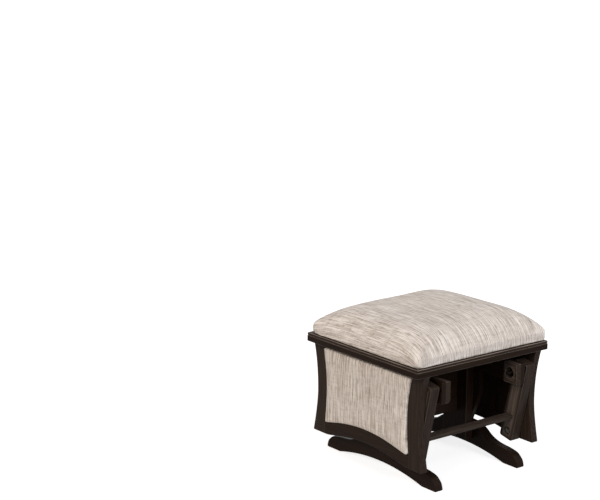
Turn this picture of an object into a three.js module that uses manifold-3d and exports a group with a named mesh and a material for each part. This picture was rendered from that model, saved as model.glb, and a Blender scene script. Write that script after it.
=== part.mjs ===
import * as THREE from 'three';
import { mergeVertices } from 'three/addons/utils/BufferGeometryUtils.js';
import Module from 'manifold-3d';

const wasm = await Module();
wasm.setup();

// Glider ottoman. Millimetres, +Z up. X crosses the two upholstered sides, Y runs from the open
// front at -Y to the open back at +Y, and the origin lies on the floor under the middle.

// Overall sizes
const frameWidth = 455;
const frameDepth = 440;
const frameUnder = 310; // underside of the seat frame above the floor
const frameRailHeight = 24;
const crownRise = 86; // top of the cushion above the lip of the seat frame

// Clearances
const fitGap = 0.3; // between pieces that are fixed together
const runGap = 0.3; // around a pin that turns
const clothGap = 1; // around an upholstered pad
const trimGap = 0.05; // by which the corner cutter stands outside the frame
const weldDistance = 0.0003;

// Seat frame moulding
const frameRailWidth = 46;
const frameCornerRadius = 2;
const lipWidth = 9.5;
const ledgeHeight = 11; // the ledge under the seat board, above the rail's underside
const railFaceHeight = 15.5;
const quirkDepth = 1.6;
const quirkRise = 1.2;
const beadSetback = 0.5;
const beadRadius = 3.6;
const beadStartShare = 1.12; // of a half turn, where the bead rises out of the quirk
const beadSteps = 5;
const railEase = 1;
const cornerSteps = 5;

// Seat board and cushion
const boardThickness = 9;
const boardGap = 1;
const boardEase = 0.8;
const cushionSetback = 3.75; // cushion's widest line behind the seat frame's outer face
const cushionSeatInset = 7; // how far the cushion is drawn in where it sits inside the lip
const cushionRollInset = 2.5; // how far it is drawn in where it rolls over the lip
const cushionSwell = 7; // height over the lip at which it reaches its full width
const cushionWall = 21; // upright side over the lip, below the crown
const cushionCornerShare = 0.025;
const cushionCornerPower = 12;
const crownPowerAcross = 5.15;
const crownPowerAlong = 4.66;
const crownRootAcross = 0.78;
const crownRootAlong = 0.9;
const crownCornerPower = 1.5; // the higher, the fuller the crown's corners
const crownEdgeShare = 0.9995;
const cushionCells = 16;

// Side panels
const panelThickness = 20;
const panelSetback = 22.8; // panel's outer face behind the seat frame's
const panelUnder = 59.5; // underside of a side panel's feet
const panelTopSetback = 0.8; // panel's end behind the seat frame's face, where they meet
const waistDraw = 18.2; // how far a stile's outer edge is drawn in at its waist
const footDraw = 0.5; // and at its foot
const waistHeightShare = 0.45;
const flareTopPower = 2.2;
const flareFootPower = 1.5;
const stileTopWidth = 44.7;
const stileWaistWidth = 42;
const stileFootWidth = 53.2;
const headRailHeight = 9.1;
const bottomRailHeight = 34;
const windowWaistHeightShare = 0.49;
const windowTopPower = 1.8;
const windowFootPower = 1.6;
const windowArchRise = 23;
const windowArchSetback = 9; // where the arch over the bottom rail begins, from the stile
const windowArchPower = 1.15;
const panelArchSetback = 2; // where the arch under the bottom rail begins, from the stile
const panelArchRise = 20.5;
const panelArchPower = 1.4;
const footEase = 3;
const panelEase = 1.2;
const panelSteps = 12;

// Upholstered side pads
const backingSetback = 2; // backing board behind the panel's inner face
const backingThickness = 5;
const backingEase = 0.05;
const padProud = 4.5; // pad's edge before the panel's outer face
const padCrown = 3.5;
const padCrownPower = 4;
const padCells = 10;

// Swing linkage
const upperPivotInset = 25.7; // upper pivots from the ends of the hanger boards
const upperPivotDrop = 50; // upper pivots under the seat frame
const lowerPivotInset = 39; // lower pivots towards the middle from the upper pivots
const lowerPivotRise = 24.5; // lower pivots above the underside of the panels' feet
const armGap = 2.7; // between an arm and its side panel
const hangerGap = 7; // between an arm and its hanger board
const armThickness = 30;
const armWidth = 45;
const armTopReach = 23; // arm above its upper pivot
const armFootReach = 22; // arm below its lower pivot
const armCorner = 4;
const armEase = 1.5;
const linkRailShare = 0.749; // of the way down the arm, between the pivots, to a link's cross rail
const linkRailDepth = 20;
const linkRailThickness = 12;
const linkRailEase = 1.2;

// Pivot hardware
const boltRadius = 4;
const boltHeadRadius = 7.5;
const boltHeadHeight = 5.5;
const boltTailReach = 26.5; // upper bolt past the inner face of the hanger board
const boltHoldDepth = 14; // lower bolt inside the side panel
const nutHeight = 6.5;
const pocketRadius = 11;
const headPocketDepth = 7;
const headSeat = 0.5;
const bushDepth = 7;
const bushHubRadius = 7;
const openPivotGap = 2.1; // radial room at the rear lower pivots
const shankGap = 0.6; // around a bolt inside an arm
const boltSides = 16;
const hexSides = 6;
const bushSides = 20;
const pocketSides = 24;

// Base
const runnerThickness = 25;
const runnerSetback = 0.3; // runner's toe behind the seat frame's face
const runnerCrestHeight = 83;
const runnerFootLength = 54.7;
const runnerArchRise = 21.3;
const runnerEase = 2;
const runnerTopSteps = 22;
const runnerArchSteps = 12;
const hangerThickness = 13.5;
const hangerTopRise = 27; // above the upper pivots
const hangerHeight = 57;
const hangerCorner = 3;
const hangerStemFoot = 34;
const hangerStemNeck = 67;
const hangerStemNeckDrop = 65; // under the hanger's bar
const hangerStemRoot = 71;
const hangerEase = 1.2;
const blockThickness = 16.2;
const blockLength = 47.5;
const blockBore = 15;
const postThickness = 24.2;
const postHalfDepth = 45;
const postUnder = 35;
const postEase = 1.5;
const crossBoardThickness = 20;
const crossBoardUnder = 111;
const crossBoardTopDrop = 8; // below the top of the posts

// Runner's upper edge from the toe to the crest, as shares of its half length and crest height
const runnerTopShares = [
  [1, 0.03],
  [0.979, 0.2],
  [0.945, 0.31],
  [0.885, 0.42],
  [0.773, 0.482],
  [0.664, 0.51],
  [0.56, 0.558],
  [0.455, 0.663],
  [0.347, 0.85],
  [0.25, 0.955],
  [0.13, 0.995],
  [0, 1],
];

// Looks
const wood = () => new THREE.MeshStandardMaterial({ color: '#2d231e', roughness: 0.45, flatShading: true });
const fabric = () => new THREE.MeshStandardMaterial({ color: '#cdc5bd', roughness: 0.95, flatShading: true });
const steel = () => new THREE.MeshStandardMaterial({
  color: '#a9a7a3', roughness: 0.35, metalness: 1, flatShading: true });
const nylon = () => new THREE.MeshStandardMaterial({ color: '#1b1a19', roughness: 0.6, flatShading: true });
const plywood = () => new THREE.MeshStandardMaterial({ color: '#8d735a', roughness: 0.8, flatShading: true });

// Places worked out from the sizes above
const lipTop = frameUnder + frameRailHeight;
const boardUnder = frameUnder + ledgeHeight + fitGap;
const boardTop = boardUnder + boardThickness;
const cushionUnder = boardTop + fitGap;
const cushionHalfWidth = frameWidth / 2 - cushionSetback;
const cushionHalfDepth = frameDepth / 2 - cushionSetback;
const panelTop = frameUnder - fitGap;
const panelOuter = frameWidth / 2 - panelSetback;
const panelInner = panelOuter - panelThickness;
const panelTopHalfDepth = frameDepth / 2 - panelTopSetback;
const waistHalfDepth = panelTopHalfDepth - waistDraw;
const panelFootHalfDepth = panelTopHalfDepth - footDraw;
const waistHeight = panelUnder + (panelTop - panelUnder) * waistHeightShare;
const windowTop = panelTop - headRailHeight;
const windowFootHeight = panelUnder + bottomRailHeight;
const windowWaistHeight = windowFootHeight + (windowTop - windowFootHeight) * windowWaistHeightShare;
const windowTopHalfDepth = panelTopHalfDepth - stileTopWidth;
const windowWaistHalfDepth = waistHalfDepth - stileWaistWidth;
const windowFootHalfDepth = panelFootHalfDepth - stileFootWidth;
const windowArchHalf = windowFootHalfDepth - windowArchSetback;
const panelArchHalf = windowFootHalfDepth - panelArchSetback;
const armOuter = panelInner - armGap;
const armInner = armOuter - armThickness;
const hangerOuter = armInner - hangerGap;
const runnerInner = hangerOuter - hangerThickness;
const runnerHalfLength = frameDepth / 2 - runnerSetback;
const runnerFootHalf = runnerHalfLength - runnerFootLength;
const upperPivotDepth = runnerHalfLength - upperPivotInset;
const upperPivotHeight = frameUnder - upperPivotDrop;
const lowerPivotDepth = upperPivotDepth - lowerPivotInset;
const lowerPivotHeight = panelUnder + lowerPivotRise;
const hangerTop = upperPivotHeight + hangerTopRise;
const hangerUnder = hangerTop - hangerHeight;
const hangerStemNeckHeight = hangerUnder - hangerStemNeckDrop;
const crossBoardTop = hangerTop - crossBoardTopDrop;
const postInner = runnerInner - fitGap - postThickness;
const blockInner = runnerInner - fitGap - blockThickness;
const pivotDrop = upperPivotHeight - lowerPivotHeight;
const pivotLean = upperPivotDepth - lowerPivotDepth;
const pivotSpan = Math.hypot(pivotDrop, pivotLean);
const linkRailDrop = pivotSpan * linkRailShare;
const alongArm = [pivotLean / pivotSpan, -pivotDrop / pivotSpan];
const acrossArm = [pivotDrop / pivotSpan, pivotLean / pivotSpan];

// Closed mesh of shared points, ready for cutting
function closed(geometry) {
  geometry.deleteAttribute('normal');
  geometry.deleteAttribute('uv');
  return mergeVertices(geometry, weldDistance);
}

function toSolid(geometry) {
  return new wasm.Manifold(new wasm.Mesh({
    numProp: 3,
    vertProperties: new Float32Array(geometry.attributes.position.array),
    triVerts: new Uint32Array(geometry.index.array),
  }));
}

function toGeometry(solid) {
  const mesh = solid.getMesh();
  const geometry = new THREE.BufferGeometry();
  geometry.setAttribute('position', new THREE.BufferAttribute(new Float32Array(mesh.vertProperties), 3));
  geometry.setIndex(new THREE.BufferAttribute(new Uint32Array(mesh.triVerts), 1));
  return geometry;
}

function cut(geometry, tools) {
  return toGeometry(tools.reduce((solid, tool) => solid.subtract(toSolid(tool)), toSolid(geometry)));
}

function join(geometries) {
  const [first, ...others] = geometries.map(toSolid);
  return toGeometry(others.reduce((solid, other) => solid.add(other), first));
}

// Mirror image of a closed mesh, with its faces turned back outwards
function mirrored(geometry, axis) {
  const copy = geometry.clone();
  copy.scale(axis === 'x' ? -1 : 1, axis === 'y' ? -1 : 1, 1);
  const order = copy.index.array;
  for (let i = 0; i < order.length; i += 3) {
    [order[i + 1], order[i + 2]] = [order[i + 2], order[i + 1]];
  }
  return copy;
}

// Board with its outline in Y and Z and its thickness along X, its long edges eased by a chamfer
function sideBoard(outline, innerX, thickness, ease) {
  const shape = new THREE.Shape(outline.map(([y, z]) => new THREE.Vector2(y, z)));
  const geometry = new THREE.ExtrudeGeometry(shape, {
    depth: thickness - 2 * ease,
    steps: 1,
    bevelEnabled: true,
    bevelThickness: ease,
    bevelSize: ease,
    bevelOffset: -ease,
    bevelSegments: 1,
  });
  const turn = new THREE.Matrix4().makeBasis(
    new THREE.Vector3(0, 1, 0),
    new THREE.Vector3(0, 0, 1),
    new THREE.Vector3(1, 0, 0),
  );
  geometry.applyMatrix4(turn);
  geometry.translate(innerX + ease, 0, 0);
  return closed(geometry);
}

function beam(innerX, thickness, lowY, highY, lowZ, highZ, ease) {
  return sideBoard([[lowY, lowZ], [highY, lowZ], [highY, highZ], [lowY, highZ]], innerX, thickness, ease);
}

function rodAlongX(radius, fromX, toX, y, z, sides) {
  const geometry = new THREE.CylinderGeometry(radius, radius, toX - fromX, sides);
  geometry.rotateZ(-Math.PI / 2);
  geometry.translate((fromX + toX) / 2, y, z);
  return closed(geometry);
}

// Seat frame
function frameRailProfile() {
  const beadCentre = [beadSetback + beadRadius, frameRailHeight - beadRadius];
  const beadStart = Math.PI * beadStartShare;
  const beadEnd = Math.PI / 2;
  const points = [[frameRailWidth, 0], [railEase, 0], [0, railEase], [0, railFaceHeight]];
  points.push([quirkDepth, railFaceHeight + quirkRise]);
  for (let i = 0; i <= beadSteps; i += 1) {
    const angle = beadStart + (beadEnd - beadStart) * i / beadSteps;
    points.push([
      beadCentre[0] + beadRadius * Math.cos(angle),
      beadCentre[1] + beadRadius * Math.sin(angle),
    ]);
  }
  points.push([lipWidth - railEase, frameRailHeight], [lipWidth, frameRailHeight - railEase]);
  points.push([lipWidth, ledgeHeight], [frameRailWidth, ledgeHeight]);
  return points;
}

// Block with rounded upright corners that trims the mitred frame's corners
function frameCornerTrim() {
  const halfWidth = frameWidth / 2 + trimGap;
  const halfDepth = frameDepth / 2 + trimGap;
  const cornerX = halfWidth - frameCornerRadius;
  const cornerY = halfDepth - frameCornerRadius;
  const shape = new THREE.Shape();
  shape.absarc(cornerX, cornerY, frameCornerRadius, 0, Math.PI / 2);
  shape.absarc(-cornerX, cornerY, frameCornerRadius, Math.PI / 2, Math.PI);
  shape.absarc(-cornerX, -cornerY, frameCornerRadius, Math.PI, Math.PI * 3 / 2);
  shape.absarc(cornerX, -cornerY, frameCornerRadius, Math.PI * 3 / 2, Math.PI * 2);
  const geometry = new THREE.ExtrudeGeometry(shape, {
    depth: frameRailHeight * 2, bevelEnabled: false, curveSegments: cornerSteps });
  geometry.translate(0, 0, frameUnder - frameRailHeight / 2);
  return closed(geometry);
}

// One mitred rail, made at the front of the frame and turned about Z by quarter turns
function frameRail(length, faceDistance, quarterTurns) {
  const outline = frameRailProfile().map(([inset, height]) => new THREE.Vector2(inset, height));
  const shape = new THREE.Shape(outline);
  const geometry = new THREE.ExtrudeGeometry(shape, { depth: 1, bevelEnabled: false });
  const position = geometry.attributes.position;
  const mitreGap = fitGap / Math.SQRT2;
  for (let i = 0; i < position.count; i += 1) {
    const inset = position.getX(i);
    const height = position.getY(i);
    const side = position.getZ(i) > 1 / 2 ? 1 : -1;
    position.setXYZ(i, side * (length / 2 - inset - mitreGap), inset - faceDistance, frameUnder + height);
  }
  const rail = closed(geometry);
  rail.rotateZ(quarterTurns * Math.PI / 2);
  return toGeometry(toSolid(rail).intersect(toSolid(frameCornerTrim())));
}

function seatBoard() {
  const halfWidth = frameWidth / 2 - lipWidth - boardGap;
  const halfDepth = frameDepth / 2 - lipWidth - boardGap;
  return beam(-halfWidth, halfWidth * 2, -halfDepth, halfDepth, boardUnder, boardTop, boardEase);
}

// Even steps from -1 to 1 drawn together towards both ends
function towardsEnds(share) {
  return Math.sin(share * Math.PI / 2);
}

// Cushion: flat underneath, drawn in at the lip, with an upright side and a crown over it. Across and
// along, with u the share of the half width or half depth, the crown follows c = (1 - |u|^n)^m. Its height
// at a place is (c1^-k + c2^-k - 1)^(-1/k) of its full rise.
function crownShare(share, power, root) {
  return (1 - (Math.abs(share) * crownEdgeShare) ** power) ** root;
}

function cushionTopAt(u, v) {
  const across = crownShare(u, crownPowerAcross, crownRootAcross);
  const along = crownShare(v, crownPowerAlong, crownRootAlong);
  const crown = (across ** -crownCornerPower + along ** -crownCornerPower - 1) ** (-1 / crownCornerPower);
  return lipTop + cushionWall + (crownRise - cushionWall) * crown;
}

// Heights of the cushion's side, each with how far it is drawn in there
const cushionRows = [
  [cushionUnder, cushionSeatInset],
  [lipTop, cushionSeatInset],
  [lipTop + clothGap, cushionRollInset],
  [lipTop + cushionSwell, 0],
];

function cushionPoint(u, v, row) {
  const [z, inset] = cushionRows[row] ?? [cushionTopAt(u, v), 0];
  const cornerX = 1 - cushionCornerShare * Math.abs(v) ** cushionCornerPower;
  const cornerY = 1 - cushionCornerShare * Math.abs(u) ** cushionCornerPower;
  return [(cushionHalfWidth - inset) * u * cornerX, (cushionHalfDepth - inset) * v * cornerY, z];
}

function seatCushion() {
  const rows = cushionRows.length;
  const geometry = new THREE.BoxGeometry(2, 2, 1, cushionCells, cushionCells, rows);
  const position = geometry.attributes.position;
  for (let i = 0; i < position.count; i += 1) {
    const u = towardsEnds(position.getX(i));
    const v = towardsEnds(position.getY(i));
    const row = Math.round((position.getZ(i) + 1 / 2) * rows);
    position.setXYZ(i, ...cushionPoint(u, v, row));
  }
  return closed(geometry);
}

// Side panels
function stileOuterAt(z) {
  const above = Math.max(z - waistHeight, 0) / (panelTop - waistHeight);
  const below = Math.max(waistHeight - z, 0) / (waistHeight - panelUnder);
  const topGain = (panelTopHalfDepth - waistHalfDepth) * above ** flareTopPower;
  return waistHalfDepth + topGain + (panelFootHalfDepth - waistHalfDepth) * below ** flareFootPower;
}

function windowHalfAt(z) {
  const above = Math.max(z - windowWaistHeight, 0) / (windowTop - windowWaistHeight);
  const below = Math.max(windowWaistHeight - z, 0) / (windowWaistHeight - windowFootHeight);
  const topGain = (windowTopHalfDepth - windowWaistHalfDepth) * above ** windowTopPower;
  const footGain = (windowFootHalfDepth - windowWaistHalfDepth) * below ** windowFootPower;
  return windowWaistHalfDepth + topGain + footGain;
}

function windowFootAt(y) {
  const bend = Math.max(1 - (y / windowArchHalf) ** 2, 0);
  return windowFootHeight + windowArchRise * bend ** windowArchPower;
}

function panelArchAt(y) {
  const bend = Math.max(1 - (y / panelArchHalf) ** 2, 0);
  return panelUnder + panelArchRise * bend ** panelArchPower;
}

function spread(from, to, steps) {
  return Array.from({ length: steps + 1 }, (_, i) => from + (to - from) * i / steps);
}

// Stile at the back edge of a panel, hourglass shaped and flared into its foot
function panelStile() {
  const outer = spread(panelUnder + footEase, panelTop, panelSteps).map((z) => [stileOuterAt(z), z]);
  const inner = spread(panelTop, windowFootHeight, panelSteps).map((z) => [windowHalfAt(z), z]);
  const foot = [[windowFootHalfDepth, panelUnder], [stileOuterAt(panelUnder) - footEase, panelUnder]];
  return sideBoard([...outer, ...inner, ...foot], panelInner, panelThickness, panelEase);
}

function panelBottomRail() {
  const half = windowFootHalfDepth - fitGap;
  const under = spread(-panelArchHalf, panelArchHalf, panelSteps).map((y) => [y, panelArchAt(y)]);
  const over = spread(half, -half, panelSteps).map((y) => [y, windowFootAt(y)]);
  const ends = [[-half, panelUnder]];
  const outline = [...ends, ...under, [half, panelUnder], ...over];
  const board = sideBoard(outline, panelInner, panelThickness, panelEase);
  const holeFrom = panelInner - headSeat;
  const holeTo = panelInner + boltHoldDepth + fitGap;
  const holes = [-lowerPivotDepth, lowerPivotDepth].map((y) => rodAlongX(
    boltRadius + runGap, holeFrom, holeTo, y, lowerPivotHeight, boltSides));
  return cut(board, holes);
}

function panelHeadRail() {
  const half = windowTopHalfDepth - fitGap;
  return beam(panelInner, panelThickness, -half, half, windowTop, panelTop, panelEase);
}

// Backing board that fills the panel's window behind the pad
function panelBacking() {
  const highest = windowTop - fitGap;
  const lowest = windowFootHeight + fitGap;
  const rightEdge = spread(lowest, highest, panelSteps).map((z) => [windowHalfAt(z) - fitGap, z]);
  const leftEdge = rightEdge.map(([y, z]) => [-y, z]).reverse();
  const inset = windowFootHalfDepth - fitGap * 2;
  const under = spread(-inset, inset, panelSteps).map((y) => [y, windowFootAt(y) + fitGap]);
  const innerUnder = under.slice(1, -1);
  const outline = [...innerUnder, ...rightEdge, ...leftEdge];
  return sideBoard(outline, panelInner + backingSetback, backingThickness, backingEase);
}

// Pad in the window: flat behind, its cloth face slightly crowned
function sidePad() {
  const geometry = new THREE.BoxGeometry(1, 2, 2, 1, padCells, padCells);
  const position = geometry.attributes.position;
  const backX = panelInner + backingSetback + backingThickness + fitGap;
  for (let i = 0; i < position.count; i += 1) {
    const u = towardsEnds(position.getY(i));
    const v = towardsEnds(position.getZ(i));
    const lowest = windowFootAt(u * windowWaistHalfDepth) + clothGap;
    const z = lowest + (windowTop - clothGap - lowest) * (v + 1) / 2;
    const y = u * (windowHalfAt(z) - clothGap);
    const crown = padCrown * (1 - Math.abs(u) ** padCrownPower) * (1 - Math.abs(v) ** padCrownPower);
    const frontX = panelOuter + padProud + crown;
    position.setXYZ(i, position.getX(i) > 0 ? frontX : backX, y, z);
  }
  return closed(geometry);
}

// Swing arms, made at the back on the +X side: down the arm the pivots draw in towards the middle
function armPoint(down, across) {
  return [
    upperPivotDepth - down * alongArm[0] + across * acrossArm[0],
    upperPivotHeight + down * alongArm[1] - across * acrossArm[1],
  ];
}

function armOutline() {
  const top = -armTopReach;
  const foot = pivotSpan + armFootReach;
  const side = armWidth / 2;
  return [
    armPoint(top, side - armCorner), armPoint(top + armCorner, side),
    armPoint(foot - armCorner, side), armPoint(foot, side - armCorner),
    armPoint(foot, armCorner - side), armPoint(foot - armCorner, -side),
    armPoint(top + armCorner, -side), armPoint(top, armCorner - side),
  ];
}

function swingArm(lowerGap) {
  const board = sideBoard(armOutline(), armInner, armThickness, armEase);
  const bushPocket = bushDepth + fitGap;
  const upper = [upperPivotDepth, upperPivotHeight];
  const lower = [lowerPivotDepth, lowerPivotHeight];
  const pocket = pocketRadius + fitGap;
  const inside = armInner - headSeat;
  const outside = armOuter + headSeat;
  return cut(board, [
    rodAlongX(boltRadius + shankGap, inside, outside, ...upper, boltSides),
    rodAlongX(boltRadius + lowerGap + shankGap, inside, outside, ...lower, boltSides),
    rodAlongX(pocket, inside, armInner + bushPocket, ...upper, pocketSides),
    rodAlongX(pocket, armOuter - headPocketDepth, outside, ...upper, pocketSides),
    rodAlongX(pocket, armOuter - bushPocket, outside, ...lower, pocketSides),
    rodAlongX(pocket, inside, armInner + headPocketDepth, ...lower, pocketSides),
  ]);
}

function linkRail() {
  const half = armInner - fitGap;
  const low = linkRailDrop + linkRailThickness / 2;
  const high = linkRailDrop - linkRailThickness / 2;
  const side = linkRailDepth / 2;
  const outline = [armPoint(low, -side), armPoint(low, side), armPoint(high, side), armPoint(high, -side)];
  return sideBoard(outline, -half, half * 2, linkRailEase);
}

// Flanged bush: a ring in the arm's pocket with a hub that fills the space to the next board
function bush(hubLength, gap) {
  const bore = boltRadius + gap;
  const end = hubLength + bushDepth;
  const profile = [
    [bore, 0], [bushHubRadius, 0], [bushHubRadius, hubLength], [pocketRadius, hubLength],
    [pocketRadius, end], [bore, end], [bore, 0],
  ];
  const ring = new THREE.LatheGeometry(profile.map(([r, x]) => new THREE.Vector2(r, x)), bushSides);
  ring.rotateZ(-Math.PI / 2);
  return closed(ring);
}

function upperBush() {
  const ring = bush(armInner - hangerOuter - fitGap, runGap);
  ring.translate(hangerOuter + fitGap, upperPivotDepth, upperPivotHeight);
  return ring;
}

function lowerBush(gap) {
  const ring = bush(panelInner - armOuter - fitGap, gap);
  ring.rotateZ(Math.PI);
  ring.translate(panelInner - fitGap, lowerPivotDepth, lowerPivotHeight);
  return ring;
}

function upperBolt() {
  const pivot = [upperPivotDepth, upperPivotHeight];
  const headFrom = armOuter - headPocketDepth + headSeat;
  return join([
    rodAlongX(boltRadius, runnerInner - boltTailReach, headFrom + headSeat, ...pivot, boltSides),
    rodAlongX(boltHeadRadius, headFrom, headFrom + boltHeadHeight, ...pivot, hexSides),
  ]);
}

function upperNut() {
  const pivot = [upperPivotDepth, upperPivotHeight];
  const nutTo = runnerInner - fitGap;
  const nut = rodAlongX(boltHeadRadius, nutTo - nutHeight, nutTo, ...pivot, hexSides);
  const bore = rodAlongX(boltRadius + runGap, nutTo - nutHeight * 2, nutTo + nutHeight, ...pivot, boltSides);
  return cut(nut, [bore]);
}

function lowerBolt() {
  const pivot = [lowerPivotDepth, lowerPivotHeight];
  const headTo = armInner + headPocketDepth - headSeat;
  return join([
    rodAlongX(boltRadius, headTo - headSeat, panelInner + boltHoldDepth, ...pivot, boltSides),
    rodAlongX(boltHeadRadius, headTo - boltHeadHeight, headTo, ...pivot, hexSides),
  ]);
}

// Base
function runner() {
  const toe = runnerTopShares.map(([along, up]) => (
    new THREE.Vector3(along * runnerHalfLength, up * runnerCrestHeight)));
  const back = toe.map((point) => new THREE.Vector3(-point.x, point.y)).reverse().slice(1);
  const curve = new THREE.CatmullRomCurve3([...toe, ...back]);
  const over = curve.getPoints(runnerTopSteps * 2).map((point) => [point.x, point.y]);
  const archAt = (y) => runnerArchRise * (1 - (y / runnerFootHalf) ** 2);
  const under = spread(-runnerFootHalf, runnerFootHalf, runnerArchSteps).map((y) => [y, archAt(y)]);
  const toeEase = runnerTopShares[0][1] * runnerCrestHeight;
  const feet = runnerHalfLength - toeEase;
  return sideBoard([...over, [-feet, 0], ...under, [feet, 0]], runnerInner, runnerThickness, runnerEase);
}

// Hanger board: a bar that carries the pivots at both ends, on a flared stem above the runner's crest
function hangerBoard() {
  const half = runnerHalfLength;
  const rightSide = [
    [hangerStemFoot, runnerCrestHeight + fitGap],
    [hangerStemNeck, hangerStemNeckHeight],
    [(hangerStemNeck + hangerStemRoot) / 2, (hangerStemNeckHeight + hangerUnder) / 2 + hangerCorner],
    [hangerStemRoot, hangerUnder],
    [half - hangerCorner, hangerUnder], [half, hangerUnder + hangerCorner],
    [half, hangerTop - hangerCorner], [half - hangerCorner, hangerTop],
  ];
  const leftSide = rightSide.map(([y, z]) => [-y, z]).reverse();
  const board = sideBoard([...rightSide, ...leftSide], runnerInner, hangerThickness, hangerEase);
  return cut(board, [-upperPivotDepth, upperPivotDepth].map((y) => rodAlongX(
    boltRadius + runGap, runnerInner - headSeat, hangerOuter + headSeat, y, upperPivotHeight, boltSides)));
}

// Block on the inner face of the hanger's end, bored for the pivot's nut
function pivotBlock() {
  const end = runnerHalfLength;
  const start = end - blockLength;
  const c = hangerCorner;
  const outline = [
    [start, hangerUnder], [end - c, hangerUnder], [end, hangerUnder + c],
    [end, hangerTop - c], [end - c, hangerTop], [start, hangerTop],
  ];
  const block = sideBoard(outline, blockInner, blockThickness, hangerEase);
  const boreFrom = blockInner - headSeat;
  const boreTo = blockInner + blockThickness + headSeat;
  return cut(block, [rodAlongX(blockBore, boreFrom, boreTo, upperPivotDepth, upperPivotHeight, pocketSides)]);
}

function post() {
  return beam(postInner, postThickness, -postHalfDepth, postHalfDepth, postUnder, hangerTop, postEase);
}

// Wide board between the two posts, which ties the sides of the base together
function crossBoard() {
  const half = postInner - fitGap;
  const side = crossBoardThickness / 2;
  return beam(-half, half * 2, -side, side, crossBoardUnder, crossBoardTop, postEase);
}

// Assembly
const ottoman = new THREE.Group();

function place(name, geometry, material) {
  geometry.computeVertexNormals();
  const mesh = new THREE.Mesh(geometry, material());
  mesh.name = name;
  ottoman.add(mesh);
}

// Piece made on the +X side, and its mirror image on the other
function placeOnSides(name, geometry, material) {
  place(`${name}_right`, geometry, material);
  place(`${name}_left`, mirrored(geometry, 'x'), material);
}

// Piece made at the back on the +X side, and its mirror images at the other three corners
function placeAtCorners(name, geometry, material) {
  placeOnSides(`${name}_rear`, geometry, material);
  placeOnSides(`${name}_front`, mirrored(geometry, 'y'), material);
}

place('frame_rail_front', frameRail(frameWidth, frameDepth / 2, 0), wood);
place('frame_rail_right', frameRail(frameDepth, frameWidth / 2, 1), wood);
place('frame_rail_rear', frameRail(frameWidth, frameDepth / 2, 2), wood);
place('frame_rail_left', frameRail(frameDepth, frameWidth / 2, 3), wood);
place('seat_board', seatBoard(), plywood);
place('seat_cushion', seatCushion(), fabric);

placeAtCorners('panel_stile', panelStile(), wood);
placeOnSides('panel_bottom_rail', panelBottomRail(), wood);
placeOnSides('panel_head_rail', panelHeadRail(), wood);
placeOnSides('panel_backing', panelBacking(), wood);
placeOnSides('side_pad', sidePad(), fabric);

placeOnSides('arm_rear', swingArm(openPivotGap), wood);
placeOnSides('arm_front', mirrored(swingArm(runGap), 'y'), wood);
place('link_rail_rear', linkRail(), wood);
place('link_rail_front', mirrored(linkRail(), 'y'), wood);

placeAtCorners('upper_bush', upperBush(), nylon);
placeOnSides('lower_bush_rear', lowerBush(openPivotGap), nylon);
placeOnSides('lower_bush_front', mirrored(lowerBush(runGap), 'y'), nylon);
placeAtCorners('upper_bolt', upperBolt(), steel);
placeAtCorners('upper_nut', upperNut(), steel);
placeAtCorners('lower_bolt', lowerBolt(), steel);

placeOnSides('runner', runner(), wood);
placeOnSides('post', post(), wood);
placeOnSides('hanger', hangerBoard(), wood);
placeAtCorners('pivot_block', pivotBlock(), wood);
place('cross_board', crossBoard(), wood);

export default ottoman;
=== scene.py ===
"""Glider ottoman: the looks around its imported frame, laid out as a Blender add-on."""
import math

import bpy
import numpy as np
from mathutils import Matrix, Vector


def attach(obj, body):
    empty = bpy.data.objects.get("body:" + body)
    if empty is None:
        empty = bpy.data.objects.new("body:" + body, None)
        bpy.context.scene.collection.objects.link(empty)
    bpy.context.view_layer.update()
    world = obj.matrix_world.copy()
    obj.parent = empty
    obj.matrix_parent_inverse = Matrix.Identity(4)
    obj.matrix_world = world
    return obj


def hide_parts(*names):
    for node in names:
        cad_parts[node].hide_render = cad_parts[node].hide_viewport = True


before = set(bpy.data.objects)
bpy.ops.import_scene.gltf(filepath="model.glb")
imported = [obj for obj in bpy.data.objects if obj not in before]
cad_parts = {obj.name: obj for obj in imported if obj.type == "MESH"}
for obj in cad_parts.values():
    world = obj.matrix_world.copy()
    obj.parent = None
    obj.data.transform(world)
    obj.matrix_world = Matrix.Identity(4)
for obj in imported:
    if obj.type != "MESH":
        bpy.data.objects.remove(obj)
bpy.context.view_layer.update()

bl_info = {
    "name": "Glider Ottoman",
    "version": (1, 0, 0),
    "blender": (4, 5, 0),
    "location": "3D Viewport > Sidebar > Ottoman",
    "description": "Makes the visible pieces of a glider ottoman around its frame",
    "category": "Add Mesh",
}

MM = 0.001

# Seat frame, in millimetres
FRAME_WIDTH, FRAME_DEPTH, FRAME_UNDER, RAIL_HEIGHT = 455.0, 440.0, 310.0, 24.0
LIP_TOP = FRAME_UNDER + RAIL_HEIGHT
RAIL_WIDTH, RAIL_CORNER, RAIL_FACE = 46.0, 2.0, 15.5
LIP_WIDTH, LEDGE_HEIGHT = 9.5, 11.0
QUIRK_DEPTH, QUIRK_HEIGHT = 1.6, 16.7
FIT_GAP, GLUE_GAP = 0.3, 0.1

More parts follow.
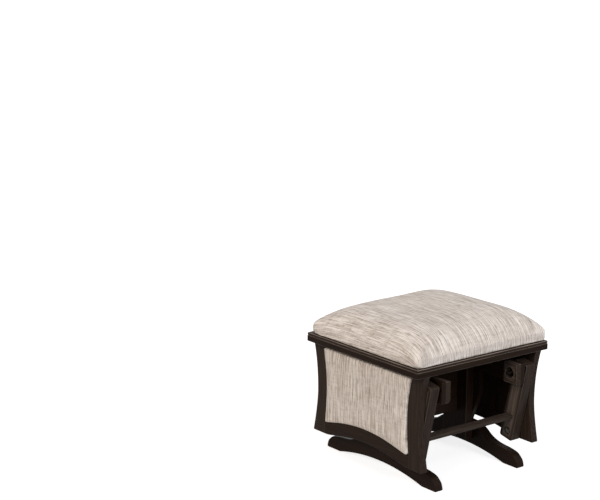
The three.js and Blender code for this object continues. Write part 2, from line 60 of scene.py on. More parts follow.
# Seat board and cushion
BOARD_UNDER, BOARD_THICKNESS, BOARD_GAP = 321.3, 9.0, 1.0
CUSHION_UNDER = BOARD_UNDER + BOARD_THICKNESS + FIT_GAP
CUSHION_HALF = (224.9, 217.4)
CUSHION_WALL, CUSHION_ROLL = 21.1, 8.0
SEAT_INSET, ROLL_INSET = 8.15, 6.15
CROWN_POWERS, CROWN_ROOTS, CROWN_CORNER_POWER = (5.15, 4.66), (0.78, 0.9), 1.5
CROWN_EDGE = 0.9995
WALL_LEAN, CORNER_LEAN = 1.5, -4.0
PUCKER_FADE, CREASE_DEPTH, CREASE_WIDTH = 7.0, 1.6, 2.6
HELD_HEIGHT, CUSHION_PRESSURE, CUSHION_REACH = LIP_TOP + 1.5, 1.5, 2.5
CLOTH_FRAMES, CLOTH_STIFFNESS = 20, 40

# Side panels
PANEL_INNER, PANEL_OUTER = 184.7, 204.7
PANEL_UNDER, PANEL_TOP = 59.5, 309.7
PANEL_TOP_HALF, PANEL_WAIST_HALF, PANEL_FOOT_HALF = 219.2, 201.0, 218.7
PANEL_WAIST_HEIGHT = PANEL_UNDER + 0.45 * (PANEL_TOP - PANEL_UNDER)
WINDOW_TOP, WINDOW_FOOT = PANEL_TOP - 9.1, PANEL_UNDER + 34.0
WINDOW_TOP_HALF, WINDOW_WAIST_HALF, WINDOW_FOOT_HALF = 174.5, 159.0, 165.5
WINDOW_WAIST_HEIGHT = WINDOW_FOOT + 0.49 * (WINDOW_TOP - WINDOW_FOOT)
WINDOW_ARCH_RISE, WINDOW_ARCH_HALF, WINDOW_ARCH_POWER = 23.0, 156.5, 1.15
PANEL_ARCH_RISE, PANEL_ARCH_HALF, PANEL_ARCH_POWER = 20.5, 163.5, 1.4
PANEL_POWERS, WINDOW_POWERS = (2.2, 1.5), (1.8, 1.6)
BACKING_INNER, BACKING_THICKNESS = 186.7, 5.0
PAD_BACK, PAD_EDGE, PAD_CORNER, CLOTH_GAP = 192.0, 210.7, 8.0, 1.0
PAD_HELD, PAD_PRESSURE, PAD_REACH = PAD_EDGE - 1, 0.6, 0.8
BACKING_ROUND, SEAT_BOARD_ROUND, CLOTH_SHARP = 0.3, 0.8, 80

# Swing arms and their pivots
UPPER_PIVOT = np.array([194.0, 260.0])
LOWER_PIVOT = np.array([155.0, 84.0])
ARM_INNER, ARM_OUTER, ARM_WIDTH = 152.0, 182.0, 45.0
ARM_TOP_REACH, ARM_FOOT_REACH, ARM_CORNER = 23.0, 22.0, 6.0
LINK_SHARE, LINK_DEPTH, LINK_THICKNESS, LINK_CORNER, LINK_ROUND = 0.749, 20.0, 12.0, 1.5, 0.5
BOLT_RADIUS, HEAD_RADIUS, HEAD_HEIGHT, HEAD_GAP = 4.0, 7.5, 5.5, 0.5
RIM_SHARE, RIM_SLOPE = 0.84, math.tan(math.radians(30))
POCKET_RADIUS, HEAD_POCKET, BUSH_DEPTH, BUSH_HUB = 11.0, 7.0, 7.0, 7.0
RUN_GAP, OPEN_GAP, SHANK_GAP = 0.3, 2.1, 0.6
HOLD_DEPTH, NUT_HEIGHT, BOLT_TAIL = 14.0, 6.5, 26.5
THREAD_PITCH, THREAD_DEPTH, UPPER_THREAD, LOWER_THREAD = 1.25, 0.75, 34, 14

# Base
RUNNER_INNER, RUNNER_THICKNESS, RUNNER_HALF, RUNNER_CREST = 131.5, 25.0, 219.7, 83.0
RUNNER_FOOT, RUNNER_ARCH = 165.0, 21.3
RUNNER_TOP_SHARES = (
    (1, 0), (0.979, 0.2), (0.945, 0.31), (0.885, 0.42), (0.773, 0.482), (0.664, 0.51),
    (0.56, 0.558), (0.455, 0.663), (0.347, 0.85), (0.25, 0.955), (0.13, 0.995), (0, 1),
)
HANGER_THICKNESS, HANGER_TOP, HANGER_UNDER = 13.5, 287.0, 230.0
STEM_FOOT, STEM_NECK, STEM_ROOT, STEM_NECK_HEIGHT, STEM_FILLET = 34.0, 67.0, 71.0, 165.0, 3.0
TOE_CORNER, RUNNER_ROUND_SHARE, HANGER_ROUNDS = 4.0, 1.3, (0.1, 1.2)
BLOCK_CORNER, BLOCK_EDGE, CROSS_CORNER, CROSS_EDGE = 2.5, 1.5, 1.8, 0.6
BLOCK_THICKNESS, BLOCK_LENGTH, BLOCK_BORE, BLOCK_ROUND = 16.2, 47.5, 15.0, 8.0
POST_THICKNESS, POST_HALF, POST_UNDER = 24.2, 45.0, 35.0
CROSS_HALF, CROSS_UNDER, CROSS_TOP = 10.0, 111.0, 279.0


def linear(hex_colour):
    """An sRGB hex colour as linear red, green, blue and alpha."""
    channels = np.array([int(hex_colour[i:i + 2], 16) for i in (1, 3, 5)]) / 255
    curved = ((channels + 0.055) / 1.055) ** 2.4
    return (*(float(c) for c in np.where(channels <= 0.04045, channels / 12.92, curved)), 1.0)


# Sizes and colours

def length(name, description, millimetres):
    return bpy.props.FloatProperty(
        name=name, description=description, default=millimetres * MM, unit="LENGTH", precision=5)


def colour(name, description, hex_colour):
    return bpy.props.FloatVectorProperty(
        name=name, description=description, default=linear(hex_colour), subtype="COLOR", size=4,
        min=0, max=1)


class OttomanSizes(bpy.types.PropertyGroup):
    """Sizes that shape the visible pieces."""

    crown: length("Crown", "Top of the cushion above the lip of the seat frame", 85)
    crown_lean: length("Crown lean", "How much fuller the crown is at its right front", 3.7)
    cushion_corner: length("Cushion corner", "Radius of the cushion's corners seen from above", 19)
    pucker: length("Pucker", "Depth of the cloth's puckers over the lip", 0.7)
    pad_crown: length("Pad crown", "How far a side pad swells", 1.4)
    pad_roll: length("Pad roll", "Radius of a side pad's edge", 4.5)
    bead: length("Bead", "Radius of the bead round the seat frame", 3.6)
    board_round: length("Board rounding", "Radius of a board's long edges", 1.6)
    board_corner: length("Board corner", "Radius of a board's corners", 3)


class OttomanColours(bpy.types.PropertyGroup):
    """Colours of the finishes."""

    cloth: colour("Cloth", "Pale yarn of the upholstery cloth", "#e9e3dc")
    cloth_shade: colour("Cloth shade", "Darker yarn of the upholstery cloth", "#a3978c")
    stain: colour("Stain", "Stained wood between the grain lines", "#281c15")
    stain_grain: colour("Stain in the grain", "Stained wood in the grain lines", "#19120d")
    # Paler brown mixed in as painted highlight on edge roundings, partly real wear, and as painted light
    # over better-lit pieces
    stain_painted_light_and_wear: colour("Stain with painted light and wear", "Paler brown for painted light and highlight, with some wear", "#8f8278")
    zinc: colour("Zinc", "Plated steel", "#6e6c68")
    # A darker copy of the steel colour: painted shade for the bolts and nuts deep in the blocks
    black_oxide: colour("Black oxide", "Darker copy of the steel as painted shade", "#272422")
    nylon: colour("Nylon", "Bushes", "#1d1c1b")
    nylon_shade: colour("Nylon shade", "Darker grains of the bushes", "#121212")
    veneer: colour("Veneer", "Seat board", "#a98d6c")
    floor: colour("Floor", "Studio floor", "#b8b8b8")


# Shapes

# A shape is its points, the point at each corner of each face in turn, and each face's count of corners.

def grid_faces(index):
    """Four-cornered faces over a table of point numbers, facing its columns' way crossed with its rows'."""
    corners = np.stack([index[:-1, :-1], index[:-1, 1:], index[1:, 1:], index[1:, :-1]], -1).ravel()
    return corners, np.full(len(corners) // 4, 4)


def shape_of(points, *faces):
    corners, sizes = zip(*faces)
    return points.reshape(-1, 3), np.concatenate(corners), np.concatenate(sizes)


def cap(ring):
    return ring, np.array([len(ring)])


def swept(rows, closed_rows=False):
    """Skin over rows of points, each row a closed ring; the end rings are capped, or joined to each
    other."""
    count, around = rows.shape[:2]
    index = np.arange(count * around).reshape(count, around)
    ring = np.concatenate([index, index[:, :1]], 1)
    if closed_rows:
        return shape_of(rows, grid_faces(np.concatenate([ring, ring[:1]])))
    return shape_of(rows, grid_faces(ring), cap(index[0, ::-1]), cap(index[-1]))


def moved(shape, scale=(1, 1, 1), quarter_turns=0):
    """A mirrored or turned copy of a shape, with its faces turned back outwards."""
    points, corners, sizes = shape
    points = points * scale
    for _ in range(quarter_turns):
        points = points[:, (1, 0, 2)] * (-1, 1, 1)
    if np.prod(scale) < 0:
        corners, sizes = corners[::-1], sizes[::-1]
    return points, corners, sizes


def arc(centre, radius, start, end, steps):
    """Points on a circle: its centre plus its radius times the cosine and sine of an even run of angles."""
    angle = np.radians(np.linspace(start, end, steps + 1))
    return np.stack([centre[0] + radius * np.cos(angle), centre[1] + radius * np.sin(angle)], -1)


def outline(*edges, steps=5):
    """One closed outline of curves that meet end to end, each given with the radius of the corner at
    its end. A corner's arc touches both curves' end tangents, at radius x tan(half the turn) from the
    corner."""
    parts = []
    for (edge, radius), (following, _), (_, before) in zip(
            edges, edges[1:] + edges[:1], edges[-1:] + edges[:-1]):
        edge, following = np.asarray(edge, float), np.asarray(following, float)
        into, out = edge[-1] - edge[-2], following[1] - following[0]
        into, out = into / np.linalg.norm(into), out / np.linalg.norm(out)
        turn = math.atan2(into[0] * out[1] - into[1] * out[0], into @ out)
        reach = abs(radius * math.tan(turn / 2))
        clear = np.linalg.norm(edge - edge[-1], axis=1) > reach * 1.2
        clear &= np.linalg.norm(edge - edge[0], axis=1) > before * 1.2
        side = math.copysign(1, turn)
        across = np.array([-into[1], into[0]]) * side
        sweep = np.linspace(0, abs(turn), steps + 1)[:, None]
        start = edge[-1] - into * reach
        bend = start + radius * (np.sin(sweep) * into + (1 - np.cos(sweep)) * across)
        parts += [edge[clear], bend if radius else edge[-1:]]
    return np.concatenate(parts)


def polygon(corners, radius):
    """A closed outline of straight edges, with its corners rounded."""
    return outline(*[([a, b], radius) for a, b in zip(corners, corners[1:] + corners[:1])])


def drawn_in(ring, insets):
    """A closed outline with each edge moved inwards by its own inset. With N and M the inward normals
    of the edges after and before a corner, it moves by mean inset x (N + M) / (1 + N.M), plus half the
    insets' difference x (N - M) / (1 - N.M)."""
    ahead = np.roll(ring, -1, 0) - ring
    ahead /= np.linalg.norm(ahead, axis=1)[:, None]
    after = np.stack([-ahead[:, 1], ahead[:, 0]], 1)
    before = np.roll(after, 1, 0)
    dot = (after * before).sum(1)
    mean, lean = (insets + np.roll(insets, 1)) / 2, (insets - np.roll(insets, 1)) / 2
    return (ring + (mean / (1 + dot))[:, None] * (after + before)
            + (lean / np.maximum(1 - dot, 0.3))[:, None] * (after - before))


def board(ring, inner, thickness, rounding, joints=()):
    """A board with its outline in Y and Z and its thickness along X. Towards each face the outline is
    drawn in by r (1 - sin a) while the depth grows by r (1 - cos a), with a from 0 to a quarter turn.
    The rounding may differ at its two faces. Edges along a joint, given as axis and place, are left
    sharp."""
    ends = np.stack([ring, np.roll(ring, -1, 0)])
    free = np.ones(len(ring))
    for axis, place in joints:
        free[np.all(np.abs(ends[..., axis] - place) < 0.01, axis=0)] = 0
    a = np.linspace(0, np.pi / 2, 4)
    insets, depths = [], []
    for r in np.broadcast_to(rounding, 2):
        insets.append(np.concatenate([[r * 1.6], r * (1 - np.sin(a)), [0]]))
        depths.append(np.concatenate([[0], r * (1 - np.cos(a)), [r * 1.6]]))
    insets = np.concatenate([insets[0], insets[1][::-1]])
    depths = np.concatenate([inner + depths[0], inner + thickness - depths[1][::-1]])
    rings = np.stack([drawn_in(ring, free * inset) for inset in insets])
    across = np.broadcast_to(depths[:, None, None], (*rings.shape[:2], 1))
    return swept(np.concatenate([across, rings], -1))


def block(low, high, inner, thickness, corner, rounding):
    """A board with a rectangular outline from low to high in Y and Z."""
    (a, b), (c, d) = low, high
    return board(polygon([(a, b), (c, b), (c, d), (a, d)], corner), inner, thickness, rounding)


def turned(x, radius, pivot, closed_rows=False, sides=36):
    """A turned piece about a line along X: rows of x, each with a radius that may change round the row."""
    angle = np.arange(sides) / sides * 2 * np.pi
    x, radius = (np.broadcast_to(np.asarray(a, float).reshape(len(a), -1), (len(a), sides))
                 for a in (x, radius))
    rows = np.stack([x, pivot[0] + radius * np.cos(angle), pivot[1] + radius * np.sin(angle)], -1)
    return swept(rows, closed_rows)


def waisted(height, low, waist, high, halves, powers):
    """Half depth at a height: its waist's, plus the share of the way to the top or the foot, to a power for
    each, times what is gained there."""
    foot_half, waist_half, top_half = halves
    above = np.clip((height - waist) / (high - waist), 0, None) ** powers[0]
    below = np.clip((waist - height) / (waist - low), 0, None) ** powers[1]
    return waist_half + (top_half - waist_half) * above + (foot_half - waist_half) * below


def arched(y, half, rise, power):
    """Height of an arch: its rise times (1 - the square of the share of its half length) to a power."""
    return rise * np.clip(1 - (y / half) ** 2, 0, None) ** power


def stile_outer(z):
    return waisted(z, PANEL_UNDER, PANEL_WAIST_HEIGHT, PANEL_TOP,
                   (PANEL_FOOT_HALF, PANEL_WAIST_HALF, PANEL_TOP_HALF), PANEL_POWERS)


def window_half(z):
    return waisted(z, WINDOW_FOOT, WINDOW_WAIST_HEIGHT, WINDOW_TOP,
                   (WINDOW_FOOT_HALF, WINDOW_WAIST_HALF, WINDOW_TOP_HALF), WINDOW_POWERS)


def window_foot(y):
    return WINDOW_FOOT + arched(y, WINDOW_ARCH_HALF, WINDOW_ARCH_RISE, WINDOW_ARCH_POWER)


def panel_arch(y):
    return PANEL_UNDER + arched(y, PANEL_ARCH_HALF, PANEL_ARCH_RISE, PANEL_ARCH_POWER)


def smooth_curve(points, steps):
    """Catmull-Rom curve: each span is a cubic that leaves its first point along the line between that
    point's neighbours, and comes to its second the same way."""
    points = np.asarray(points, float)
    padded = np.concatenate([2 * points[:1] - points[1:2], points, 2 * points[-1:] - points[-2:-1]])
    p0, p1, p2, p3 = (padded[i:len(padded) - 3 + i, None] for i in range(4))
    t = (np.arange(steps) / steps)[None, :, None]
    curve = (2 * p1 + (p2 - p0) * t + (2 * p0 - 5 * p1 + 4 * p2 - p3) * t ** 2
             + (3 * p1 - p0 - 3 * p2 + p3) * t ** 3) / 2
    return np.concatenate([curve.reshape(-1, 2), points[-1:]])


# Meshes

def mesh_of(name, shape):
    points, corners, sizes = shape
    mesh = bpy.data.meshes.new(name)
    mesh.vertices.add(len(points))
    mesh.vertices.foreach_set("co", (points * MM).astype(np.float32).ravel())
    mesh.loops.add(len(corners))
    mesh.loops.foreach_set("vertex_index", corners.astype(np.int32))
    mesh.polygons.add(len(sizes))
    starts = np.concatenate([[0], np.cumsum(sizes)[:-1]])
    mesh.polygons.foreach_set("loop_start", starts.astype(np.int32))
    mesh.update(calc_edges=True)
    mesh.validate()
    return mesh


def points_of(mesh):
    points = np.empty(len(mesh.vertices) * 3, np.float32)
    mesh.vertices.foreach_get("co", points)
    return points.reshape(-1, 3).astype(float)


def add_vectors(mesh, name, values):
    layer = mesh.attributes.new(name, "FLOAT_VECTOR", "POINT")
    layer.data.foreach_set("vector", np.asarray(values, np.float32).ravel())


def bored(shape, *bores):
    """A shape with round stepped holes cut along X, read back as a shape."""
    work = bpy.data.objects.new("work", mesh_of("work", shape))
    bpy.context.scene.collection.objects.link(work)
    cutters = []
    for bore in bores:
        cutter = bpy.data.objects.new("bore", mesh_of("bore", bore))
        bpy.context.scene.collection.objects.link(cutter)
        cut = work.modifiers.new("bore", "BOOLEAN")
        cut.operation, cut.solver, cut.object = "DIFFERENCE", "EXACT", cutter
        cutters.append(cutter)
    mesh = bpy.data.meshes.new_from_object(work.evaluated_get(bpy.context.evaluated_depsgraph_get()))
    corners, sizes = np.empty(len(mesh.loops), np.int32), np.empty(len(mesh.polygons), np.int32)
    mesh.loops.foreach_get("vertex_index", corners)
    mesh.polygons.foreach_get("loop_total", sizes)
    points = points_of(mesh) / MM
    for item in (work, *cutters):
        old = item.data
        bpy.data.objects.remove(item)
        bpy.data.meshes.remove(old)
    bpy.data.meshes.remove(mesh)
    return points, corners, sizes


def piece(name, shape, material, body, slot, node=None, sharp=32):
    """Puts a shape into the scene as a named piece that stands for its frame node and moves with its
    body."""
    mesh = mesh_of(name, shape)
    mesh.shade_smooth()
    mesh.set_sharp_from_angle(angle=math.radians(sharp))
    made = bpy.data.objects.new(name, mesh)
    bpy.context.scene.collection.objects.link(made)
    made.data.materials.append(material)
    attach(made, body)
    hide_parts(node or name.removeprefix("visible_"))
    return made


def wooden(name, shape, body, along, painted_light=0.0, edge_light_and_wear=0.0, edge_axis=0):
    """A piece of stained wood. One attribute holds the place in the timber: along the grain, then
    across it twice, moved on for each piece so that no two are cut from the same place. The other holds
    the share of paler brown: painted light, a little all over the better-lit pieces, and more by the
    fourth power of the sine of twice the angle between the normal and an axis, which is greatest on the
    edges' roundings, where it is a painted highlight with some real wear."""
    made = piece("visible_" + name, shape, stained_wood(), body, "wood", name)
    along = np.asarray(along, float) / np.linalg.norm(along)
    side = np.cross(along, (0.31, 0.22, 0.93) if abs(along[2]) < 0.9 else (0.22, 0.93, 0.31))
    side /= np.linalg.norm(side)
    axes = np.stack([along, side, np.cross(along, side)], 1)
    start = np.array([1.7, 0.37, 0.53]) * (1 + sum(map(ord, name)) % 17)
    add_vectors(made.data, "board", points_of(made.data) @ axes + start)
    normal = np.empty(len(made.data.vertices) * 3, np.float32)
    made.data.vertices.foreach_get("normal", normal)
    leaning = normal.reshape(-1, 3)[:, edge_axis] ** 2
    # Painted light over the whole piece, plus painted highlight with some wear on the edge roundings
    rubbed = made.data.attributes.new("rubbed", "FLOAT", "POINT")
    rubbed.data.foreach_set("value", (painted_light + edge_light_and_wear * (4 * leaning * (1 - leaning)) ** 2).astype(np.float32))
    return made


SIDES = (("right", 1), ("left", -1))
ENDS = (("rear", 1), ("front", -1))


# Finishes

WEAVE_SIZE = 0.0014


def add(tree, kind, inputs=(), out=0, **settings):
    """Adds a node, gives it its settings, sets or links its inputs, which come in order or under their
    names or numbers, and hands back one of its outputs."""
    made = tree.nodes.new(kind)
    for name, value in settings.items():
        setattr(made, name, value)
    for key, value in inputs.items() if isinstance(inputs, dict) else enumerate(inputs):
        if isinstance(value, bpy.types.NodeSocket):
            tree.links.new(value, made.inputs[key])
        else:
            made.inputs[key].default_value = value
    return made.outputs[out] if made.outputs else None


def finish(name, build):
    """The material of that name, built the first time that it is asked for."""
    known = bpy.data.materials.get(name)
    if known:
        return known
    material = bpy.data.materials.new(name)
    material.use_nodes = True
    tree = material.node_tree
    tree.nodes.clear()
    add(tree, "ShaderNodeOutputMaterial", {"Surface": build(tree, bpy.context.scene.ottoman_colours)})
    return material


def stretched_noise(tree, place, sizes, detail, seed=0.0):
    """Noise whose grains have the given sizes in metres along each axis of the place."""
    scaled = add(tree, "ShaderNodeMapping", {
        "Vector": place, "Location": (seed, seed * 1.7, seed * 0.6), "Scale": tuple(1 / s for s in sizes)})
    return add(tree, "ShaderNodeTexNoise", {
        "Vector": scaled, "Scale": 1.0, "Detail": detail, "Roughness": 0.5})


def darker(tint, share):
    return (*(channel * share for channel in tint[:3]), 1.0)


def stained_wood():
    """Hardwood with an espresso stain under satin lacquer: nearly black brown, with soft long grain
    lines that only show where light grazes it. A paler brown is painted on as highlight along the
    edges' roundings, partly real wear, and as painted light over the better-lit pieces. Grain lines are
    2 mm across and 90 mm long, pores 0.8 by 14 mm."""
    def build(tree, colours):
        place = add(tree, "ShaderNodeAttribute", out="Vector", attribute_name="board")
        lines = stretched_noise(tree, place, (0.09, 0.002, 0.002), 3.0)
        clouds = stretched_noise(tree, place, (0.16, 0.022, 0.022), 1.0, seed=3.0)
        pores = stretched_noise(tree, place, (0.014, 0.0008, 0.0008), 1.0, seed=7.0)
        between = add(tree, "ShaderNodeMapRange", (lines, 0.34, 0.66))
        cloudy = add(tree, "ShaderNodeMapRange", (clouds, 0.3, 0.7, 0.0, 0.4))
        uneven = add(tree, "ShaderNodeMapRange", (lines, 0.36, 0.6, 0.35, 1.0))
        # Share of paler brown: painted highlight on edge roundings with some real wear, and painted light
        # over whole pieces
        rubbed = add(tree, "ShaderNodeAttribute", out="Fac", attribute_name="rubbed")
        rubbed = add(tree, "ShaderNodeMath", (rubbed, uneven), operation="MULTIPLY")
        brown = tuple(colours.stain_grain)
        for share, tint in ((between, colours.stain), (cloudy, colours.stain),
                            (rubbed, colours.stain_painted_light_and_wear)):
            brown = add(tree, "ShaderNodeMix", {0: share, 6: brown, 7: tuple(tint)}, out=2, data_type="RGBA")
        pits = add(tree, "ShaderNodeMapRange", (pores, 0.3, 0.45))
        height = add(tree, "ShaderNodeMath", (lines, pits), operation="ADD")
        bump = add(tree, "ShaderNodeBump", {"Height": height, "Distance": 0.00012, "Strength": 0.6})
        rough = add(tree, "ShaderNodeMapRange", (clouds, 0.3, 0.7, 0.26, 0.36))
        return add(tree, "ShaderNodeBsdfPrincipled", {
            "Base Color": brown, "Roughness": rough, "Normal": bump, "Specular IOR Level": 0.05})
    return finish("espresso_stained_lacquered_hardwood", build)


def woven_cloth():
    """Polyester upholstery cloth woven with uneven slub yarn: matt, pale greige, with short paler and
    darker streaks along the warp, 3 mm wide and 80 mm long, and thin dark slubs 2.6 mm wide and 22 mm
    long. The weave itself is 1.4 mm."""
    def build(tree, colours):
        place = add(tree, "ShaderNodeAttribute", out="Vector", attribute_name="cloth")
        # Streaks, slubs, weft and patches: grain sizes, seed, range and share of the tone
        tone = 0.0
        for sizes, seed, low, high, share in (
                ((0.003, 0.08, 1.0), 0.0, 0.34, 0.66, 0.5), ((0.0026, 0.022, 1.0), 5.0, 0.34, 0.46, 0.24),
                ((0.024, 0.003, 1.0), 9.0, 0.3, 0.7, 0.14), ((0.05, 0.12, 1.0), 2.0, 0.3, 0.7, 0.12)):
            grains = stretched_noise(tree, place, sizes, 1.0, seed)
            layer = add(tree, "ShaderNodeMapRange", (grains, low, high))
            tone = add(tree, "ShaderNodeMath", (layer, share, tone), operation="MULTIPLY_ADD")
        share = add(tree, "ShaderNodeMapRange", (tone, 0.2, 0.85))
        yarn = add(tree, "ShaderNodeMix", {0: share, 6: tuple(colours.cloth_shade), 7: tuple(colours.cloth)},
                   out=2, data_type="RGBA")
        waves = [add(tree, "ShaderNodeTexWave", {
            "Vector": place, "Scale": math.pi / 20 / WEAVE_SIZE, "Distortion": 0.6, "Detail": 1.0},
            out=1, bands_direction=axis) for axis in ("X", "Y")]
        weave = add(tree, "ShaderNodeMath", waves, operation="MAXIMUM")
        height = add(tree, "ShaderNodeMath", (tone, 2.0, weave), operation="MULTIPLY_ADD")
        bump = add(tree, "ShaderNodeBump", {"Height": height, "Distance": 0.00025, "Strength": 0.7})
        return add(tree, "ShaderNodeBsdfPrincipled", {
            "Base Color": yarn, "Roughness": 0.92, "Normal": bump, "Specular IOR Level": 0.25,
            "Sheen Weight": 0.12, "Sheen Roughness": 0.5})
    return finish("slub_woven_polyester_cloth", build)


def cloudy_metal(name, tint, shade, low_rough, high_rough):
    """Metal whose tone, down to a share of its tint, and roughness drift in clouds of 1.5 mm."""
    def build(tree, colours):
        place = add(tree, "ShaderNodeTexCoord", out="Object")
        clouds = stretched_noise(tree, place, (0.0015, 0.0015, 0.0015), 2.0)
        bright = tuple(getattr(colours, tint))
        share = add(tree, "ShaderNodeMapRange", (clouds, 0.3, 0.7))
        metal = add(tree, "ShaderNodeMix", {0: share, 6: darker(bright, shade), 7: bright}, out=2,
                    data_type="RGBA")
        rough = add(tree, "ShaderNodeMapRange", (clouds, 0.3, 0.7, low_rough, high_rough))
        return add(tree, "ShaderNodeBsdfPrincipled", {
            "Base Color": metal, "Metallic": 1.0, "Roughness": rough})
    return finish(name, build)


def painted_shade_steel():
    """A dark, dull copy of the steel for the bolts and nuts deep in the blocks: painted shade."""
    return cloudy_metal("black_oxide_steel", "black_oxide", 0.4, 0.45, 0.6)


def plated_steel():
    """Zinc-plated steel: pale grey metal, slightly cloudy, with a soft gleam."""
    return cloudy_metal("zinc_plated_steel", "zinc", 0.8, 0.28, 0.42)


def moulded_nylon():
    """Injection-moulded black nylon: dull, with a fine sparked texture of 0.5 mm grains."""
    def build(tree, colours):
        place = add(tree, "ShaderNodeTexCoord", out="Object")
        grains = stretched_noise(tree, place, (0.0005, 0.0005, 0.0005), 1.0)
        share = add(tree, "ShaderNodeMapRange", (grains, 0.3, 0.7))
        tone = add(tree, "ShaderNodeMix", {0: share, 6: tuple(colours.nylon_shade), 7: tuple(colours.nylon)},
                   out=2, data_type="RGBA")
        bump = add(tree, "ShaderNodeBump", {"Height": grains, "Distance": 0.00005})
        return add(tree, "ShaderNodeBsdfPrincipled", {
            "Base Color": tone, "Roughness": 0.5, "Normal": bump, "IOR": 1.53})
    return finish("moulded_black_nylon", build)


def raw_plywood():
    """Unfinished plywood: pale rotary-cut veneer with wavy figure, and darker glue lines every 1.8 mm
    of its thickness on the edges."""
    def build(tree, colours):
        place = add(tree, "ShaderNodeAttribute", out="Vector", attribute_name="board")
        figure = stretched_noise(tree, place, (0.2, 0.012, 0.02), 3.0)
        fibres = stretched_noise(tree, place, (0.03, 0.001, 0.02), 1.0, seed=4.0)
        tone = add(tree, "ShaderNodeMath", (figure, 0.6, fibres), operation="MULTIPLY_ADD")
        tone = add(tree, "ShaderNodeMapRange", (tone, 0.5, 1.1))
        shade = darker(colours.veneer, 0.55)
        height = add(tree, "ShaderNodeSeparateXYZ", (place,), out="Z")
        plies = add(tree, "ShaderNodeMath", (height, 0.0018), operation="PINGPONG")
        glue = add(tree, "ShaderNodeMapRange", (plies, 0.0, 0.0003, 0.5, 0.0))
        wood = tuple(colours.veneer)
        wood = add(tree, "ShaderNodeMix", {0: tone, 6: shade, 7: wood}, out=2, data_type="RGBA")
        wood = add(tree, "ShaderNodeMix", {0: glue, 6: wood, 7: shade}, out=2, data_type="RGBA")
        bump = add(tree, "ShaderNodeBump", {"Height": fibres, "Distance": 0.0001})
        return add(tree, "ShaderNodeBsdfPrincipled", {
            "Base Color": wood, "Roughness": 0.8, "Normal": bump, "Specular IOR Level": 0.3})
    return finish("raw_birch_plywood", build)


# Seat

def rail_profile(bead):
    """Section of a frame rail, as how far in and how high: rounded foot, face, fine groove, bead, lip and
    ledge, listed so that it runs anticlockwise seen from +X at the front of the frame."""
    bead_centre = (0.5 + bead, RAIL_HEIGHT - bead)
    points = np.concatenate([
        [(RAIL_WIDTH, 0)], arc((1.5, 1.5), 1.5, 270, 180, 4),
        arc((0.6, RAIL_FACE - 0.6), 0.6, 180, 100, 3), [(QUIRK_DEPTH, RAIL_FACE + 0.3)],
        [(QUIRK_DEPTH, QUIRK_HEIGHT)], arc(bead_centre, bead, 200, 90, 12),
        arc((LIP_WIDTH - 1, RAIL_HEIGHT - 1), 1, 90, 0, 4),
        [(LIP_WIDTH, LEDGE_HEIGHT), (RAIL_WIDTH, LEDGE_HEIGHT)],
    ])
    return points[::-1]


def moulded_rail(long, face, bead):
    """The front rail: its profile carried along X. In a corner of the frame each point turns through an
    eighth of a circle about the corner's centre, of radius R less how far in it is, or none if that is
    less than nothing, up to the mitre."""
    inset, height = rail_profile(bead).T
    middle, radius = np.maximum(inset, RAIL_CORNER), np.maximum(RAIL_CORNER - inset, 0)
    angle = np.concatenate([np.linspace(45, 0, 7), np.linspace(0, 45, 7)])[:, None]
    side = np.sign(np.arange(14) - 6.5)[:, None]
    bend = np.radians(angle)
    x = side * (long / 2 - middle + radius * np.sin(bend) - FIT_GAP / math.sqrt(2))
    y = middle - radius * np.cos(bend) - face
    return swept(np.stack([x, y, np.broadcast_to(FRAME_UNDER + height, x.shape)], -1))


class OTTOMAN_OT_seat_frame(bpy.types.Operator):
    """Four moulded rails, mitred round the seat"""

    bl_idname = "ottoman.seat_frame"
    bl_label = "Seat frame"

    def execute(self, context):
        bead = context.scene.ottoman_sizes.bead / MM
        rails = (("front", FRAME_WIDTH, FRAME_DEPTH), ("right", FRAME_DEPTH, FRAME_WIDTH),
                 ("rear", FRAME_WIDTH, FRAME_DEPTH), ("left", FRAME_DEPTH, FRAME_WIDTH))
        for turns, (place, long, across) in enumerate(rails):
            rail = moved(moulded_rail(long, across / 2, bead), quarter_turns=turns)
            # The bead's roundings get a paler brown: painted highlight with some real wear
            wooden("frame_rail_" + place, rail, "seat", (1, 0, 0) if turns % 2 == 0 else (0, 1, 0),
                   edge_light_and_wear=1.0, edge_axis=2)
        return {"FINISHED"}


class OTTOMAN_OT_seat_board(bpy.types.Operator):
    """Plywood board under the cushion"""

    bl_idname = "ottoman.seat_board"
    bl_label = "Seat board"

    def execute(self, context):
        half_width = FRAME_WIDTH / 2 - LIP_WIDTH - BOARD_GAP
        half_depth = FRAME_DEPTH / 2 - LIP_WIDTH - BOARD_GAP
        shape = block((-half_depth, BOARD_UNDER), (half_depth, BOARD_UNDER + BOARD_THICKNESS),
                      -half_width, half_width * 2, 0, SEAT_BOARD_ROUND)
        made = piece("visible_seat_board", shape, raw_plywood(), "seat", "plywood", "seat_board")
        add_vectors(made.data, "board", points_of(made.data) - (0, 0, BOARD_UNDER * MM))
        return {"FINISHED"}


def rounded_plan(u, v, halves, radius):
    """A square of u and v from -1 to 1 carried to a rectangle with round corners: a corner's square of
    side R, with shares i and j, goes to the quarter disc (i root(1 - jj/2), j root(1 - ii/2))."""
    flat = [np.abs(share) * half for share, half in zip((u, v), halves)]
    i, j = (np.clip((f - (half - radius)) / radius, 0, 1) for f, half in zip(flat, halves))
    x = np.minimum(flat[0], halves[0] - radius) + radius * i * np.sqrt(1 - j * j / 2)
    y = np.minimum(flat[1], halves[1] - radius) + radius * j * np.sqrt(1 - i * i / 2)
    return x * np.sign(u), y * np.sign(v)


def towards_ends(count):
    """Shares from -1 to 1 that crowd towards both ends: the sine of an even run."""
    return np.sin(np.linspace(-1, 1, count + 1) * np.pi / 2)


